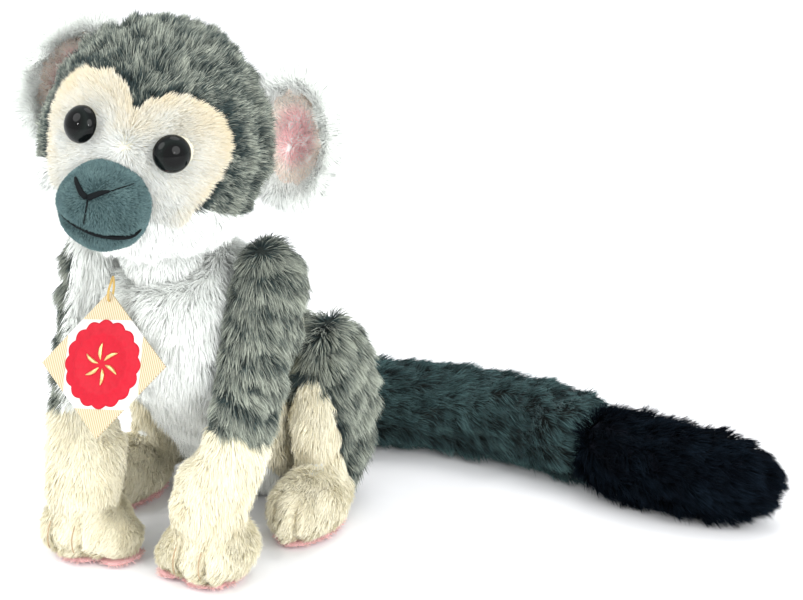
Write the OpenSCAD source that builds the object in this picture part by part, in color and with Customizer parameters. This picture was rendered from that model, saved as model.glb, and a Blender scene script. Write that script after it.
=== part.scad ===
// Plush squirrel monkey that sits on its rump with its hands on the floor.
// It faces -Y, its left side is +X, and the floor is z = 0.

/* [Head] */
// Half width of the head over the pile
head_rx = 40.5; // [39:0.5:43]
// Turn of the head towards its left, in degrees
head_turn = 14; // [0:1:20]
// Tilt of the head towards its left shoulder, in degrees
head_tilt = 15; // [0:1:18]
// Diameter of the glossy eyes
eye_d = 13.6; // [10:0.2:15]
// Height of the ears
ear_h = 48; // [40:1:54]

/* [Body] */
// Half width of the chest and rump
trunk_rx = 34; // [31:0.5:36]
// Height of the pile and its backing
coat = 4; // [3:0.5:5]

/* [Limbs] */
// Thickness of the upper arm from front to back
arm_d = 39; // [34:1:42]
// Height at which the grizzled sleeve ends
hem_z = 54; // [50:1:58]
// Height of the folded thigh
thigh_h = 78; // [70:1:80]

/* [Tail] */
// Diameter of the tail over the pile
tail_d = 35; // [30:1:36]

/* [Hang tag] */
// Side of the square card
card_side = 36; // [32:1:40]
// Diameter of the round emblem
emblem_d = 31; // [24:1:33]

/* [Hidden] */
$fn = 18;
SIDES = [["left", 1], ["right", -1]];

far = 400; // larger than the whole toy
gap = 0.5; // between two bodies that move
seam_wall = 2.5; // cloth on the hidden sides of a joint, and underneath
ease = 0.15; // between the stuffing and the coat around it
thread_d = 1; // sewn thread

head_at = [-2, -60, 153];
head_r = [head_rx, 40, 42];
neck_at = [-3, -57, 112];
neck_r = 14;
head_room = 46.5; // radius of the hollow in the shoulders that the head nods in
muzzle_at = [-1, -39.5, -18.2];
muzzle_r = [16, 15, 15.3];
eye_at = [15.2, -36, 4.7];
eye_out = 27; // how far the eyes look outwards
eye_dome = 0.75; // the height of the dome against its radius
shank_r = 2;
washer_r = 6;
ear_at = [[45, 9, 13], [38, 9, 9]]; // the left ear sits higher and further out
ear_r = [15.5, 7, ear_h / 2];
ear_gap = 2.6; // the ear folds this far off the head
ear_lean = 14;
ear_root_x = 38; // nothing of an ear lies further in than this
ear_lining_y = 7; // the lining is the front of the ear, up to here

chest_at = [0, -44, 84];
chest_r = [trunk_rx, 35, 32];
rump_at = [0, 10, 32];
rump_r = [trunk_rx + 1, 37, 36];
slab_x = 22; // half width of the trunk between the arms and between the thighs
bib_y = -46;

shoulder_at = [34, -48, 99];
elbow_at = [30, -65, 58];
wrist_at = [25, -79, 27];
hand_at = [25.5, -77, 12];
hand_r = [18, 21, 14];
thumb_at = [11, -78, 9];
thumb_r = [9, 14, 11];
arm_gap = 1.5; // from the middle to either arm
chest_front_y = -58; // the forearms are clear of the trunk ahead of this
chest_low_z = 46; // and below this

thigh_at = [34, 0, 40];
foot_at = [38, -27, 11];
leg_x = slab_x + gap;

tail_path = [[0, 46], [10, 55], [26, 62], [52, 67], [82, 67], [104, 62.5], [127, 53]];
tip_path = [[127, 53], [143, 48], [161, 46], [192, 45.5]];
tail_r = tail_d / 2;
tail_root = [tail_path[0].x, tail_path[0].y, tail_r];
tip_root = [tip_path[0].x, tip_path[0].y, tail_r];

card_at = [-9, -88, 78.5];
card_turn = -5; // the card looks a little to the right
card_lean = -25; // leans back on the chest
card_roll = -8.6; // and hangs askew
card_t = 0.8;

// ---------------------------------------------------------------- shared shapes

module ellipsoid(radii) {
    scale(radii) sphere(r = 1);
}

module ball(at, radii) {
    translate(at) ellipsoid(radii);
}

module in_head() {
    translate(head_at) rotate([0, 0, head_turn]) rotate([-7, 0, 0]) rotate([0, head_tilt, 0])
        children();
}

module on_side(side) {
    mirror([side < 0 ? 1 : 0, 0, 0]) children();
}

// Everything from x0 to x1, y0 to y1 and z0 to z1
module box(x0, x1, y0, y1, z0, z1) {
    translate([x0, y0, z0]) cube([x1 - x0, y1 - y0, z1 - z0]);
}

module above(z) {
    box(-far, far, -far, far, z, far);
}

// A soft part's cover is worked out as one closed mesh
module one_mesh() {
    resize([0, 0, 0]) children();
}

// ---------------------------------------------------------------- head

module head_form(inset = 0) {
    ellipsoid([for (r = head_r) r - inset]);
}

module head_coat() {
    difference() {
        head_form();
        head_form(coat);
    }
}

module neck_room() {
    translate(neck_at) sphere(r = neck_r + 2 * gap);
}

// The heart-shaped outline of the pale face, seen from the front
module face_prism() {
    rotate([90, 0, 0]) linear_extrude(far) {
        for (side = [-1, 1]) translate([side * 14.5, 6]) circle(r = 17.5);
        translate([0, -14]) circle(r = 23);
    }
}

module cheek_room() {
    box(-far, far, -far, 14, -far, -16);
}

// A pattern cut through the outer layer of the muzzle, seen from the front
module on_muzzle() {
    intersection() {
        difference() {
            ball(muzzle_at, muzzle_r);
            ball(muzzle_at, [for (r = muzzle_r) r - thread_d]);
        }
        translate([0, muzzle_at.y, 0]) rotate([90, 0, 0]) linear_extrude(far) children();
    }
}

module stroke(a, b) {
    hull() {
        translate(a) circle(d = thread_d, $fn = 8);
        translate(b) circle(d = thread_d, $fn = 8);
    }
}

module nose_lines() {
    tip = [-2.8, -14.1];
    stroke([-9, -11.2], tip);
    stroke(tip, [2.3, -10.4]);
    stroke(tip, [-2.6, -23]);
}

module mouth_lines() {
    intersection() {
        translate([1.5, 15.5]) difference() {
            circle(r = 41, $fn = 72);
            circle(r = 41 - thread_d, $fn = 72);
        }
        translate([-11.5, -30]) square([24, 12]);
    }
}

module at_eye(side) {
    translate([side * eye_at.x, eye_at.y, eye_at.z]) rotate([-7, 0, side * eye_out]) rotate([90, 0, 0])
        children();
}

module shank_room() {
    for (side = [-1, 1]) at_eye(side) translate([0, 0, -9]) cylinder(r = shank_r + ease, h = 14);
}

module eye(side) {
    color([0.03, 0.03, 0.03]) in_head() at_eye(side) {
        intersection() {
            translate([0, 0, 1.5]) scale([1, 1, eye_dome]) sphere(d = eye_d);
            translate([0, 0, 1.5]) cylinder(d = eye_d, h = eye_d);
        }
        translate([0, 0, -8]) cylinder(r = shank_r, h = 9.6);
    }
}

module eye_washers() {
    color("white") in_head() for (side = [-1, 1]) at_eye(side) translate([0, 0, -6.5]) difference() {
        cylinder(r = washer_r, h = 1.5);
        translate([0, 0, -1]) cylinder(r = shank_r + 0.05, h = 4);
    }
}

module eye_room() {
    shank_room();
    for (side = [-1, 1]) at_eye(side) {
        translate([0, 0, 1.5 - ease]) cylinder(d = eye_d + 2 * ease, h = eye_d);
        translate([0, 0, -8.5]) cylinder(r = washer_r + ease, h = 3.7);
    }
}

module head_cap_fur() {
    color([0.42, 0.44, 0.40]) one_mesh() difference() {
        in_head() difference() {
            head_coat();
            face_prism();
            cheek_room();
        }
        neck_room();
    }
}

module face_mask() {
    color([0.95, 0.91, 0.82]) one_mesh() in_head() difference() {
        intersection() {
            head_coat();
            face_prism();
        }
        eye_room();
    }
}

module cheek_ruff() {
    color([0.96, 0.96, 0.94]) one_mesh() difference() {
        in_head() difference() {
            intersection() {
                head_coat();
                cheek_room();
            }
            face_prism();
        }
        neck_room();
    }
}

module muzzle() {
    color([0.40, 0.43, 0.45]) in_head() difference() {
        ball(muzzle_at, muzzle_r);
        ball(muzzle_at, [for (r = muzzle_r) r - 2.5]);
        head_form();
        on_muzzle() {
            nose_lines();
            mouth_lines();
        }
    }
}

module muzzle_stuffing() {
    color("whitesmoke") in_head() difference() {
        ball(muzzle_at, [for (r = muzzle_r) r - 2.5 - ease]);
        head_form();
    }
}

module nose_stitch() {
    color([0.12, 0.12, 0.13]) in_head() on_muzzle() nose_lines();
}

module mouth_stitch() {
    color([0.12, 0.12, 0.13]) in_head() on_muzzle() difference() {
        mouth_lines();
        nose_lines();
    }
}

module head_stuffing() {
    color("whitesmoke") one_mesh() difference() {
        in_head() difference() {
            head_form(coat + ease);
            eye_room();
        }
        neck_room();
    }
}

module ear_form(side) {
    difference() {
        translate(ear_at[side > 0 ? 0 : 1]) rotate([0, -ear_lean, 0]) ellipsoid(ear_r);
        head_form(-ear_gap);
        box(-far, ear_root_x, -far, far, -far, far);
    }
}

module ear_back(side) {
    color([0.95, 0.94, 0.93]) in_head() on_side(side) one_mesh() intersection() {
        ear_form(side);
        box(ear_root_x + 1, far, ear_lining_y, far, -far, far);
    }
}

module ear_lining(side) {
    color([0.95, 0.74, 0.72]) in_head() on_side(side) one_mesh() intersection() {
        ear_form(side);
        box(ear_root_x + 1, far, -far, ear_lining_y, -far, far);
    }
}

module neck_stuffing() {
    color("whitesmoke") translate(neck_at) sphere(r = neck_r);
}

// ---------------------------------------------------------------- trunk

// What the head, the arms, the legs and the tail need to move in
module limb_room(spare = 0) {
    translate(head_at) sphere(r = head_room + spare);
    translate(neck_at) sphere(r = neck_r + 2 * gap + spare);
    for (side = [-1, 1]) on_side(side) {
        box(slab_x - spare, far, -far, -25 + spare, -far, far);
        box(slab_x - spare, far, -far, 32 + spare, -far, 84 + spare);
    }
    hull() {
        translate(tail_root) sphere(r = tail_r + 1 + spare);
        translate([24, 56, tail_r]) sphere(r = tail_r + 3 + spare);
    }
}

// The trunk over the pile, or the stuffing inside its cloth
module trunk_form(inset = 0) {
    wall = inset == 0 ? 0 : seam_wall + inset - coat;
    difference() {
        hull() {
            ball(chest_at, [for (r = chest_r) r - inset]);
            ball(rump_at, [for (r = rump_r) r - inset]);
        }
        limb_room(wall);
        box(-far, far, -far, far, -far, wall);
    }
}

module trunk_coat() {
    difference() {
        trunk_form();
        trunk_form(coat);
        box(-far, far, -far, far, -far, seam_wall);
    }
}

module bib_room() {
    box(-far, far, -far, bib_y, 0, far);
    box(-far, far, -far, 0, 0, 56);
}

module flank_room() {
    for (side = [-1, 1]) on_side(side) box(slab_x - seam_wall, slab_x + 1, bib_y, 32.5, 0, 84);
}

module back_fur() {
    color([0.42, 0.44, 0.40]) one_mesh() difference() {
        trunk_coat();
        bib_room();
        flank_room();
    }
}

module chest_bib() {
    color([0.97, 0.96, 0.93]) one_mesh() difference() {
        intersection() {
            trunk_coat();
            bib_room();
        }
        flank_room();
    }
}

module flank_panel(side) {
    color([0.96, 0.93, 0.84]) one_mesh() intersection() {
        trunk_coat();
        flank_room();
        on_side(side) box(0, far, -far, far, 0, far);
    }
}

module seat_panel() {
    color([0.95, 0.93, 0.86]) one_mesh() intersection() {
        trunk_form();
        box(-far, far, -far, far, 0, seam_wall - ease);
    }
}

module body_stuffing() {
    color("whitesmoke") one_mesh() difference() {
        trunk_form(coat + ease);
        pellet_form(ease);
    }
}

module pellet_form(extra = 0) {
    intersection() {
        ball([0, 10, 12], [13 + extra, 13 + extra, 12 + extra]);
        above(seam_wall + ease - extra);
    }
}

module pellet_bag() {
    color("tan") one_mesh() pellet_form();
}

// ---------------------------------------------------------------- arms

module arm_form(inset = 0) {
    wall = inset * seam_wall / coat;
    trunk_x = slab_x + gap + wall;
    difference() {
        union() {
            hull() {
                ball(shoulder_at, [15.5 - inset, arm_d / 2 - inset, 21 - inset]);
                ball(elbow_at, [15.5 - inset, arm_d / 2 - 2.5 - inset, 17 - inset]);
            }
            hull() {
                ball(elbow_at, [15.5 - inset, arm_d / 2 - 2.5 - inset, 17 - inset]);
                ball(wrist_at, [15.5 - inset, 16.5 - inset, 15 - inset]);
            }
        }
        translate(head_at) sphere(r = head_room + inset);
        box(-far, trunk_x, chest_front_y - wall, far, -far, far);
        box(-far, trunk_x, -far, far, chest_low_z - wall, far);
        box(-far, arm_gap + wall, -far, far, -far, far);
        box(-far, far, -far, far, -far, 0);
    }
}

module hand_form(inset = 0) {
    intersection() {
        union() {
            ball(hand_at, [for (r = hand_r) r - inset]);
            translate(thumb_at) rotate([0, 0, 12]) ellipsoid([for (r = thumb_r) r - inset]);
        }
        box(arm_gap, far, -far, far, 0, 26);
    }
}

module finger_seams(count) {
    intersection() {
        difference() {
            ball(hand_at, hand_r);
            ball(hand_at, [for (r = hand_r) r - thread_d]);
        }
        box(-far, far, -far, hand_at.y - 8, 4, 20);
        for (i = [1 : count]) translate([hand_at.x + (i - (count + 1) / 2) * 10, 0, 0])
            box(-thread_d / 2, thread_d / 2, -far, far, -far, far);
    }
}

module sleeve(side) {
    color([0.42, 0.44, 0.40]) on_side(side) one_mesh() difference() {
        arm_form();
        arm_form(coat);
        box(-far, far, -far, far, -far, hem_z);
    }
}

module forearm(side) {
    color([0.96, 0.93, 0.84]) on_side(side) one_mesh() difference() {
        union() {
            arm_form();
            hand_form();
        }
        arm_form(coat);
        hand_form(coat);
        finger_seams(2);
        above(hem_z);
        box(-far, far, -far, far, -far, seam_wall);
    }
}

module palm(side) {
    color([0.96, 0.74, 0.72]) on_side(side) one_mesh() intersection() {
        hand_form();
        box(-far, far, -far, far, 0, seam_wall - ease);
    }
}

module arm_stuffing(side) {
    color("whitesmoke") on_side(side) one_mesh() intersection() {
        union() {
            arm_form(coat + ease);
            hand_form(coat + ease);
        }
        above(seam_wall + ease);
    }
}

module finger_stitches(side) {
    color([0.75, 0.68, 0.58]) on_side(side) finger_seams(2);
}

// ---------------------------------------------------------------- legs

module thigh_form(inset = 0) {
    intersection() {
        ball(thigh_at, [14.5 - inset, 25.5 - inset, thigh_h / 2 - 1 - inset]);
        box(leg_x + inset * seam_wall / coat, far, -far, far, 0, far);
    }
}

module foot_form(inset = 0) {
    intersection() {
        ball(foot_at, [15 - inset, 26 - inset, 14.5 - inset]);
        box(leg_x + inset * seam_wall / coat, far, -far, far, 0, far);
    }
}

// The pale front of the shin, ahead of a slanting seam
module shin_room() {
    translate([0, -14, 40]) rotate([-14, 0, 0]) box(-far, far, -far, 0, -far, far);
}

module thigh_fur(side) {
    color([0.42, 0.44, 0.40]) on_side(side) one_mesh() difference() {
        thigh_form();
        thigh_form(coat);
        shin_room();
        foot_form();
        box(-far, far, -far, far, -far, seam_wall);
    }
}

module shin_panel(side) {
    color([0.96, 0.93, 0.84]) on_side(side) one_mesh() difference() {
        intersection() {
            thigh_form();
            shin_room();
        }
        thigh_form(coat);
        foot_form();
        box(-far, far, -far, far, -far, seam_wall);
    }
}

module foot(side) {
    color([0.96, 0.93, 0.84]) on_side(side) one_mesh() difference() {
        foot_form();
        foot_form(coat);
        thigh_form(coat);
        box(-far, far, -far, far, -far, seam_wall);
    }
}

module sole(side) {
    color([0.96, 0.74, 0.72]) on_side(side) one_mesh() intersection() {
        foot_form();
        box(-far, far, -far, far, 0, seam_wall - ease);
    }
}

module leg_stuffing(side) {
    color("whitesmoke") on_side(side) one_mesh() intersection() {
        union() {
            thigh_form(coat + ease);
            foot_form(coat + ease);
        }
        above(seam_wall + ease);
    }
}

// ---------------------------------------------------------------- tail

// A point on a smooth curve through a path, t counts the path's points
function along(path, t) =
    let (n = len(path), i = min(floor(t), n - 2), f = t - i,
         a = path[max(i - 1, 0)], b = path[i], c = path[i + 1], d = path[min(i + 2, n - 1)])
    0.5 * (2 * b + (c - a) * f + (2 * a - 5 * b + 4 * c - d) * f * f + (3 * b - a - 3 * c + d) * f * f * f);

function heading(path, t) =
    let (d = along(path, min(t + 0.05, len(path) - 1)) - along(path, max(t - 0.05, 0))) atan2(d.y, d.x);

// How much of its radius a tube keeps at t, with its far end rounded over the last stretch
function taper(t, last, stretch) =
    let (f = stretch == 0 ? 0 : max(0, t - (last - stretch)) / stretch) sqrt(max(0.02, 1 - f * f));

// A round tube along a path that lies at the height of the tail's middle
module tube(path, radius, rings, stretch = 0, sides = 20) {
    last = len(path) - 1;
    steps = [for (i = [0 : rings]) i * last / rings];
    points = [
        for (t = steps) let (p = along(path, t), h = heading(path, t), r = radius * taper(t, last, stretch))
            for (k = [0 : sides - 1]) let (a = 360 * k / sides, w = r * cos(a))
                [p.x - w * sin(h), p.y + w * cos(h), tail_r + r * sin(a)]
    ];
    walls = [
        for (i = [0 : rings - 1]) for (k = [0 : sides - 1])
            let (a = i * sides + k, b = i * sides + (k + 1) % sides) [a, a + sides, b + sides, b]
    ];
    near_cap = [for (k = [0 : sides - 1]) k];
    far_cap = [for (k = [sides - 1 : -1 : 0]) rings * sides + k];
    polyhedron(points, concat(walls, [near_cap, far_cap]), convexity = 6);
}

// What lies behind the open, sewn end of a tail piece
module behind(at, turn) {
    translate([at.x, at.y, 0]) rotate([0, 0, turn]) box(-far, -8, -far, far, -far, far);
}

module tail_form(inset = 0) {
    tube(tail_path, tail_r - inset, 14);
    translate(tail_root) sphere(r = tail_r - 0.7 - inset);
}

// The sewn end at the rump, and the cup that the tip turns in
module tail_ends() {
    behind(tail_root, 42);
    translate(tip_root) sphere(r = tail_r + gap);
    translate([tip_root.x, tip_root.y, 0]) rotate([0, 0, -24]) box(-4, far, -far, far, -far, far);
}

module tip_form(inset = 0) {
    tube(tip_path, tail_r - inset, 16, 0.95);
    translate(tip_root) sphere(r = tail_r - 0.7 - inset);
}

module tail_fur() {
    color([0.33, 0.37, 0.37]) one_mesh() difference() {
        tail_form();
        tail_form(coat);
        tail_ends();
    }
}

module tail_stuffing() {
    color("whitesmoke") one_mesh() difference() {
        tail_form(coat + ease);
        tail_ends();
    }
}

module tail_tip_fur() {
    color([0.07, 0.08, 0.13]) one_mesh() difference() {
        tip_form();
        tip_form(coat);
        behind(tip_root, -20);
    }
}

module tail_tip_stuffing() {
    color("whitesmoke") one_mesh() difference() {
        tip_form(coat + ease);
        behind(tip_root, -20);
    }
}

// ---------------------------------------------------------------- hang tag

module in_tag() {
    translate(card_at) rotate([0, 0, card_turn]) rotate([card_lean, 0, 0]) rotate([0, card_roll, 0])
        rotate([90, 0, 0]) children();
}

module tag_card() {
    color([0.94, 0.88, 0.74]) in_tag() difference() {
        rotate(45) translate([-card_side / 2, -card_side / 2, 0])
            cube([card_side, card_side, card_t]);
        translate([0, card_side * 0.62, -1]) cylinder(r = 1.2, h = 4);
    }
}

// A round seal with a scalloped rim and a raised ring
module tag_emblem() {
    color([0.82, 0.16, 0.22]) in_tag() translate([0, 0, card_t]) {
        difference() {
            union() {
                cylinder(d = emblem_d - 3, h = 0.6);
                for (i = [0 : 15]) rotate(i * 22.5) translate([emblem_d / 2 - 2.6, 0, 0])
                    cylinder(r = 2.6, h = 0.6);
            }
            translate([0, 0, 0.4]) difference() {
                cylinder(d = emblem_d - 8, h = 1);
                translate([0, 0, -1]) cylinder(d = emblem_d - 9.6, h = 3);
            }
        }
    }
}

module tag_thread() {
    color([0.80, 0.66, 0.34]) in_tag() translate([0, card_side * 0.62 + 4, card_t / 2])
        rotate([0, 90, 0]) rotate_extrude() translate([4.4, 0]) circle(r = 0.4);
}

// ---------------------------------------------------------------- nodes

head_cap_fur();
face_mask();
cheek_ruff();
muzzle();
muzzle_stuffing();
head_stuffing();
nose_stitch();
mouth_stitch();
eye_washers();
neck_stuffing();
back_fur();
chest_bib();
seat_panel();
for (s = SIDES) flank_panel(s[1]);
body_stuffing();
pellet_bag();
for (s = SIDES) eye(s[1]);
for (s = SIDES) ear_back(s[1]);
for (s = SIDES) ear_lining(s[1]);
for (s = SIDES) sleeve(s[1]);
for (s = SIDES) forearm(s[1]);
for (s = SIDES) palm(s[1]);
for (s = SIDES) arm_stuffing(s[1]);
for (s = SIDES) finger_stitches(s[1]);
for (s = SIDES) thigh_fur(s[1]);
for (s = SIDES) shin_panel(s[1]);
for (s = SIDES) foot(s[1]);
for (s = SIDES) sole(s[1]);
for (s = SIDES) leg_stuffing(s[1]);
tail_fur();
tail_stuffing();
tail_tip_fur();
tail_tip_stuffing();
tag_card();
tag_emblem();
tag_thread();
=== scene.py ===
"""Plush squirrel monkey: stuffed skins with sewn pile, face, hands, feet, tail and hang tag, on its frame."""

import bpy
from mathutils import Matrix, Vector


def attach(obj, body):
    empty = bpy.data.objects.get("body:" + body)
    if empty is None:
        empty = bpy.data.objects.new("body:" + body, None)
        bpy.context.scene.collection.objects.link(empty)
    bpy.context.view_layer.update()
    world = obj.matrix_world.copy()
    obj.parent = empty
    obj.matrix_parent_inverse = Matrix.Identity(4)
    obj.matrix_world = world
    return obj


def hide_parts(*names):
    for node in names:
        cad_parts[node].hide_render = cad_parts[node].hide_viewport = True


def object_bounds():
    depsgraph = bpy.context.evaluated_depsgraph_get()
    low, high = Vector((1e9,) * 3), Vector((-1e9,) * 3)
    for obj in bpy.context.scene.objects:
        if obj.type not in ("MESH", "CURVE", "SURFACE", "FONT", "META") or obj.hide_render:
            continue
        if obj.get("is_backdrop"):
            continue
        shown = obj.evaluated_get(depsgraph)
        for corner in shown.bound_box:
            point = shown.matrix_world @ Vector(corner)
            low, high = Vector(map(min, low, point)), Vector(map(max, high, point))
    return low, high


bl_info = {
    "name": "Plush squirrel monkey",
    "version": (1, 0, 0),
    "blender": (4, 5, 0),
    "location": "3D View > Sidebar > Plush monkey",
    "description": "Sews the coat, the face and the tag of a sitting plush monkey around its frame",
    "category": "Add Mesh",
}

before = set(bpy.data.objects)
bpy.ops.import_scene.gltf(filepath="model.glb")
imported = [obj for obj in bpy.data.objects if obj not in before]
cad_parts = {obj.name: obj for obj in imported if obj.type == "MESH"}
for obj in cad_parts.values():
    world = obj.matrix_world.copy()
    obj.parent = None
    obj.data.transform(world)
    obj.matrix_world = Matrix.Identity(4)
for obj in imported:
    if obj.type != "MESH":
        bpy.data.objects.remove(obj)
FRAME_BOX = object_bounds()

import math

import bmesh
import bpy
import numpy as np
from bpy.props import FloatProperty, FloatVectorProperty, PointerProperty
from mathutils import Matrix, Vector
from mathutils.kdtree import KDTree

MM = 0.001
SIDES = {"left": 1, "right": -1}

# ---------------------------------------------------------------- where things are, in millimetres

HEAD_AT = np.array([-2.0, -60.0, 153.0])
HEAD_RADII = np.array([40.5, 40.0, 42.0])
HEAD_TURN, HEAD_NOD, HEAD_TILT = 14.0, -7.0, 15.0
NECK_AT = np.array([-3.0, -57.0, 112.0])
NECK_RADIUS = 13.2
MUZZLE_AT = np.array([-1.0, -39.5, -18.2])
MUZZLE_RADII = np.array([16.0, 15.0, 15.3])
EYE_AT = np.array([15.2, -36.0, 4.7])
EYE_RADIUS = 6.4
EYE_RISE = 5.0
EYE_OUT = 27.0
EAR_AT = {1: np.array([45.0, 9.0, 13.0]), -1: np.array([38.0, 9.0, 9.0])}
EAR_WIDE, EAR_TALL = 15.0, 23.5
EAR_LEAN = 14.0
HEM_Z = 54.0
HAND_AT = np.array([25.5, -77.0, 12.0])
FOOT_AT = np.array([38.0, -27.0, 11.0])
TAG_AT = np.array([-9.0, -88.0, 78.5])
CARD_SIDE = 36.0
CARD_THICK = 0.8
SEAL_ACROSS = 31.0
# how far out, as a share of the rim, and how high above the card each ring of the seal is
SEAL_LEVELS = [
    (0.02, 0.75), (0.30, 0.72), (0.60, 0.66), (0.66, 1.02), (0.70, 1.10), (0.74, 1.02), (0.78, 0.66),
    (0.92, 0.66), (0.97, 0.60), (1.0, 0.35), (1.0, 0.0),
]
TAIL_ROUTE = [[0, 46], [10, 55], [26, 62], [52, 67], [82, 67], [104, 62.5], [127, 53]]
TIP_ROUTE = [[127, 53], [143, 48], [161, 46], [192, 45.5]]
TAIL_MIDDLE_Z = 17.5

# the lowest that a skin and its pile reach, and how the fill blows a skin up
SKIN_FLOOR = 1.2
PILE_FLOOR = 0.7
FILL_PRESSURE = 4.0
FILL_FRAMES = 20

# the close pile of the hands and feet
CLOSE_PILE = {
    "per_mm2": 9.0,
    "lift": 0.55,
    "ruffle": 0.28,
    "clump": 0.25,
    "clump_size": 1.8,
    "droop": 0.12,
    "width": 0.8,
}

# the stage: the camera in millimetres, and the rest in metres and watts
CAMERA_AT = (401.3, -726.1, 360.8)
CAMERA_TARGET = (41.6, 45.2, 67.8)
CAMERA_LENS = 104.8
FLOOR_REACH = 1.8
ROOM_LIGHT = 1.08
LIT_POINT = (0.03, -0.02, 0.09)
# each lamp's place, how wide it is and its power
LAMPS = {
    "key": ((-0.55, -0.75, 0.95), 0.8, 6.5),
    "fill": ((0.95, -0.55, 0.60), 0.8, 7.5),
    "top": ((0.1, 0.35, 1.1), 0.7, 3.0),
    "spark_left": ((-0.22, -0.85, 0.42), 0.03, 1.2),
    "spark_right": ((0.72, -0.66, 0.36), 0.03, 1.2),
}


def turned(degrees, axis):
    return Matrix.Rotation(math.radians(degrees), 3, axis)


HEAD_TURNED = np.array(turned(HEAD_TURN, "Z") @ turned(HEAD_NOD, "X") @ turned(HEAD_TILT, "Y"))
TAG_TURNED = np.array(turned(-5, "Z") @ turned(-25, "X") @ turned(-8.6, "Y") @ turned(90, "X"))


def from_head(points):
    return np.atleast_2d(points) @ HEAD_TURNED.T + HEAD_AT


def to_head(points):
    return (points - HEAD_AT) @ HEAD_TURNED


def from_tag(points):
    return np.atleast_2d(points) @ TAG_TURNED.T + TAG_AT


def unit(vectors):
    return vectors / np.maximum(np.linalg.norm(vectors, axis=-1, keepdims=True), 1e-9)


def smooth_step(low, high, values):
    t = np.clip((values - low) / (high - low), 0, 1)
    return t * t * (3 - 2 * t)


class Ripple:
    """A smooth random field between about -1 and 1, made of waves of one size in millimetres."""

    def __init__(self, seed, size, waves=9):
        draw = np.random.default_rng(seed)
        self.waves = unit(draw.normal(size=(waves, 3))) * 2 * math.pi / size
        self.waves = self.waves * draw.uniform(0.7, 1.3, (waves, 1))
        self.starts = draw.uniform(0, 2 * math.pi, waves)
        self.scale = math.sqrt(2 / waves)

    def __call__(self, points):
        return np.sin(points @ self.waves.T + self.starts).sum(axis=1) * self.scale * 0.7


# ---------------------------------------------------------------- sizes and colours a user may change


class CoatSizes(bpy.types.PropertyGroup):
    long_pile: FloatProperty(
        name="Long pile",
        description="Length of the grizzled coat's pile",
        default=8.5 * MM,
        unit="LENGTH",
    )
    short_pile: FloatProperty(
        name="Short pile",
        description="Length of the face's pile",
        default=3.4 * MM,
        unit="LENGTH",
    )
    cream_pile: FloatProperty(
        name="Cream pile",
        description="Length of the pile on the hands and feet",
        default=5.0 * MM,
        unit="LENGTH",
    )
    strand_width: FloatProperty(
        name="Strand width",
        description="Width of one strand at its root",
        default=0.36 * MM,
        unit="LENGTH",
    )
    thickness: FloatProperty(
        name="Thickness",
        description="How densely the pile stands, 1 as sewn",
        default=1.0,
        min=0.05,
        max=2.0,
    )


class CoatColours(bpy.types.PropertyGroup):
    grizzle_root: FloatVectorProperty(
        name="Grizzle root",
        description="Roots of the grizzled coat",
        subtype="COLOR",
        default=(0.013, 0.021, 0.021),
    )
    grizzle_tip: FloatVectorProperty(
        name="Grizzle tip",
        description="Pale tips of the grizzled coat",
        subtype="COLOR",
        default=(0.56, 0.60, 0.50),
    )
    cream: FloatVectorProperty(
        name="Cream",
        description="Face, hands and feet",
        subtype="COLOR",
        default=(0.90, 0.86, 0.69),
    )
    white: FloatVectorProperty(
        name="White",
        description="Bib, ruff and ears",
        subtype="COLOR",
        default=(0.93, 0.95, 0.92),
    )
    pink: FloatVectorProperty(
        name="Pink",
        description="Inside of the ears, palms and soles",
        subtype="COLOR",
        default=(0.93, 0.54, 0.55),
    )
    seal: FloatVectorProperty(
        name="Seal",
        description="Seal on the tag",
        subtype="COLOR",
        default=(0.42, 0.005, 0.016),
    )


def sizes():
    return bpy.context.scene.monkey_sizes


def colours():
    return bpy.context.scene.monkey_colours


# ---------------------------------------------------------------- shader expressions


class Value:
    """A socket of a shader that can be used like a number: its operators add Math nodes."""

    def __init__(self, dye, socket):
        self.dye = dye
        self.socket = socket

    def math(self, operation, *values):
        return self.dye.add("ShaderNodeMath", {"operation": operation}, dict(enumerate(values)))

    def __add__(self, other):
        return self.math("ADD", self, other)

    __radd__ = __add__

    def __sub__(self, other):
        return self.math("SUBTRACT", self, other)

    def __rsub__(self, other):
        return self.math("SUBTRACT", other, self)

    def __mul__(self, other):
        return self.math("MULTIPLY", self, other)

    __rmul__ = __mul__

    def clamped(self):
        return self.math("MINIMUM", self.math("MAXIMUM", self, 0.0), 1.0)


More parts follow.
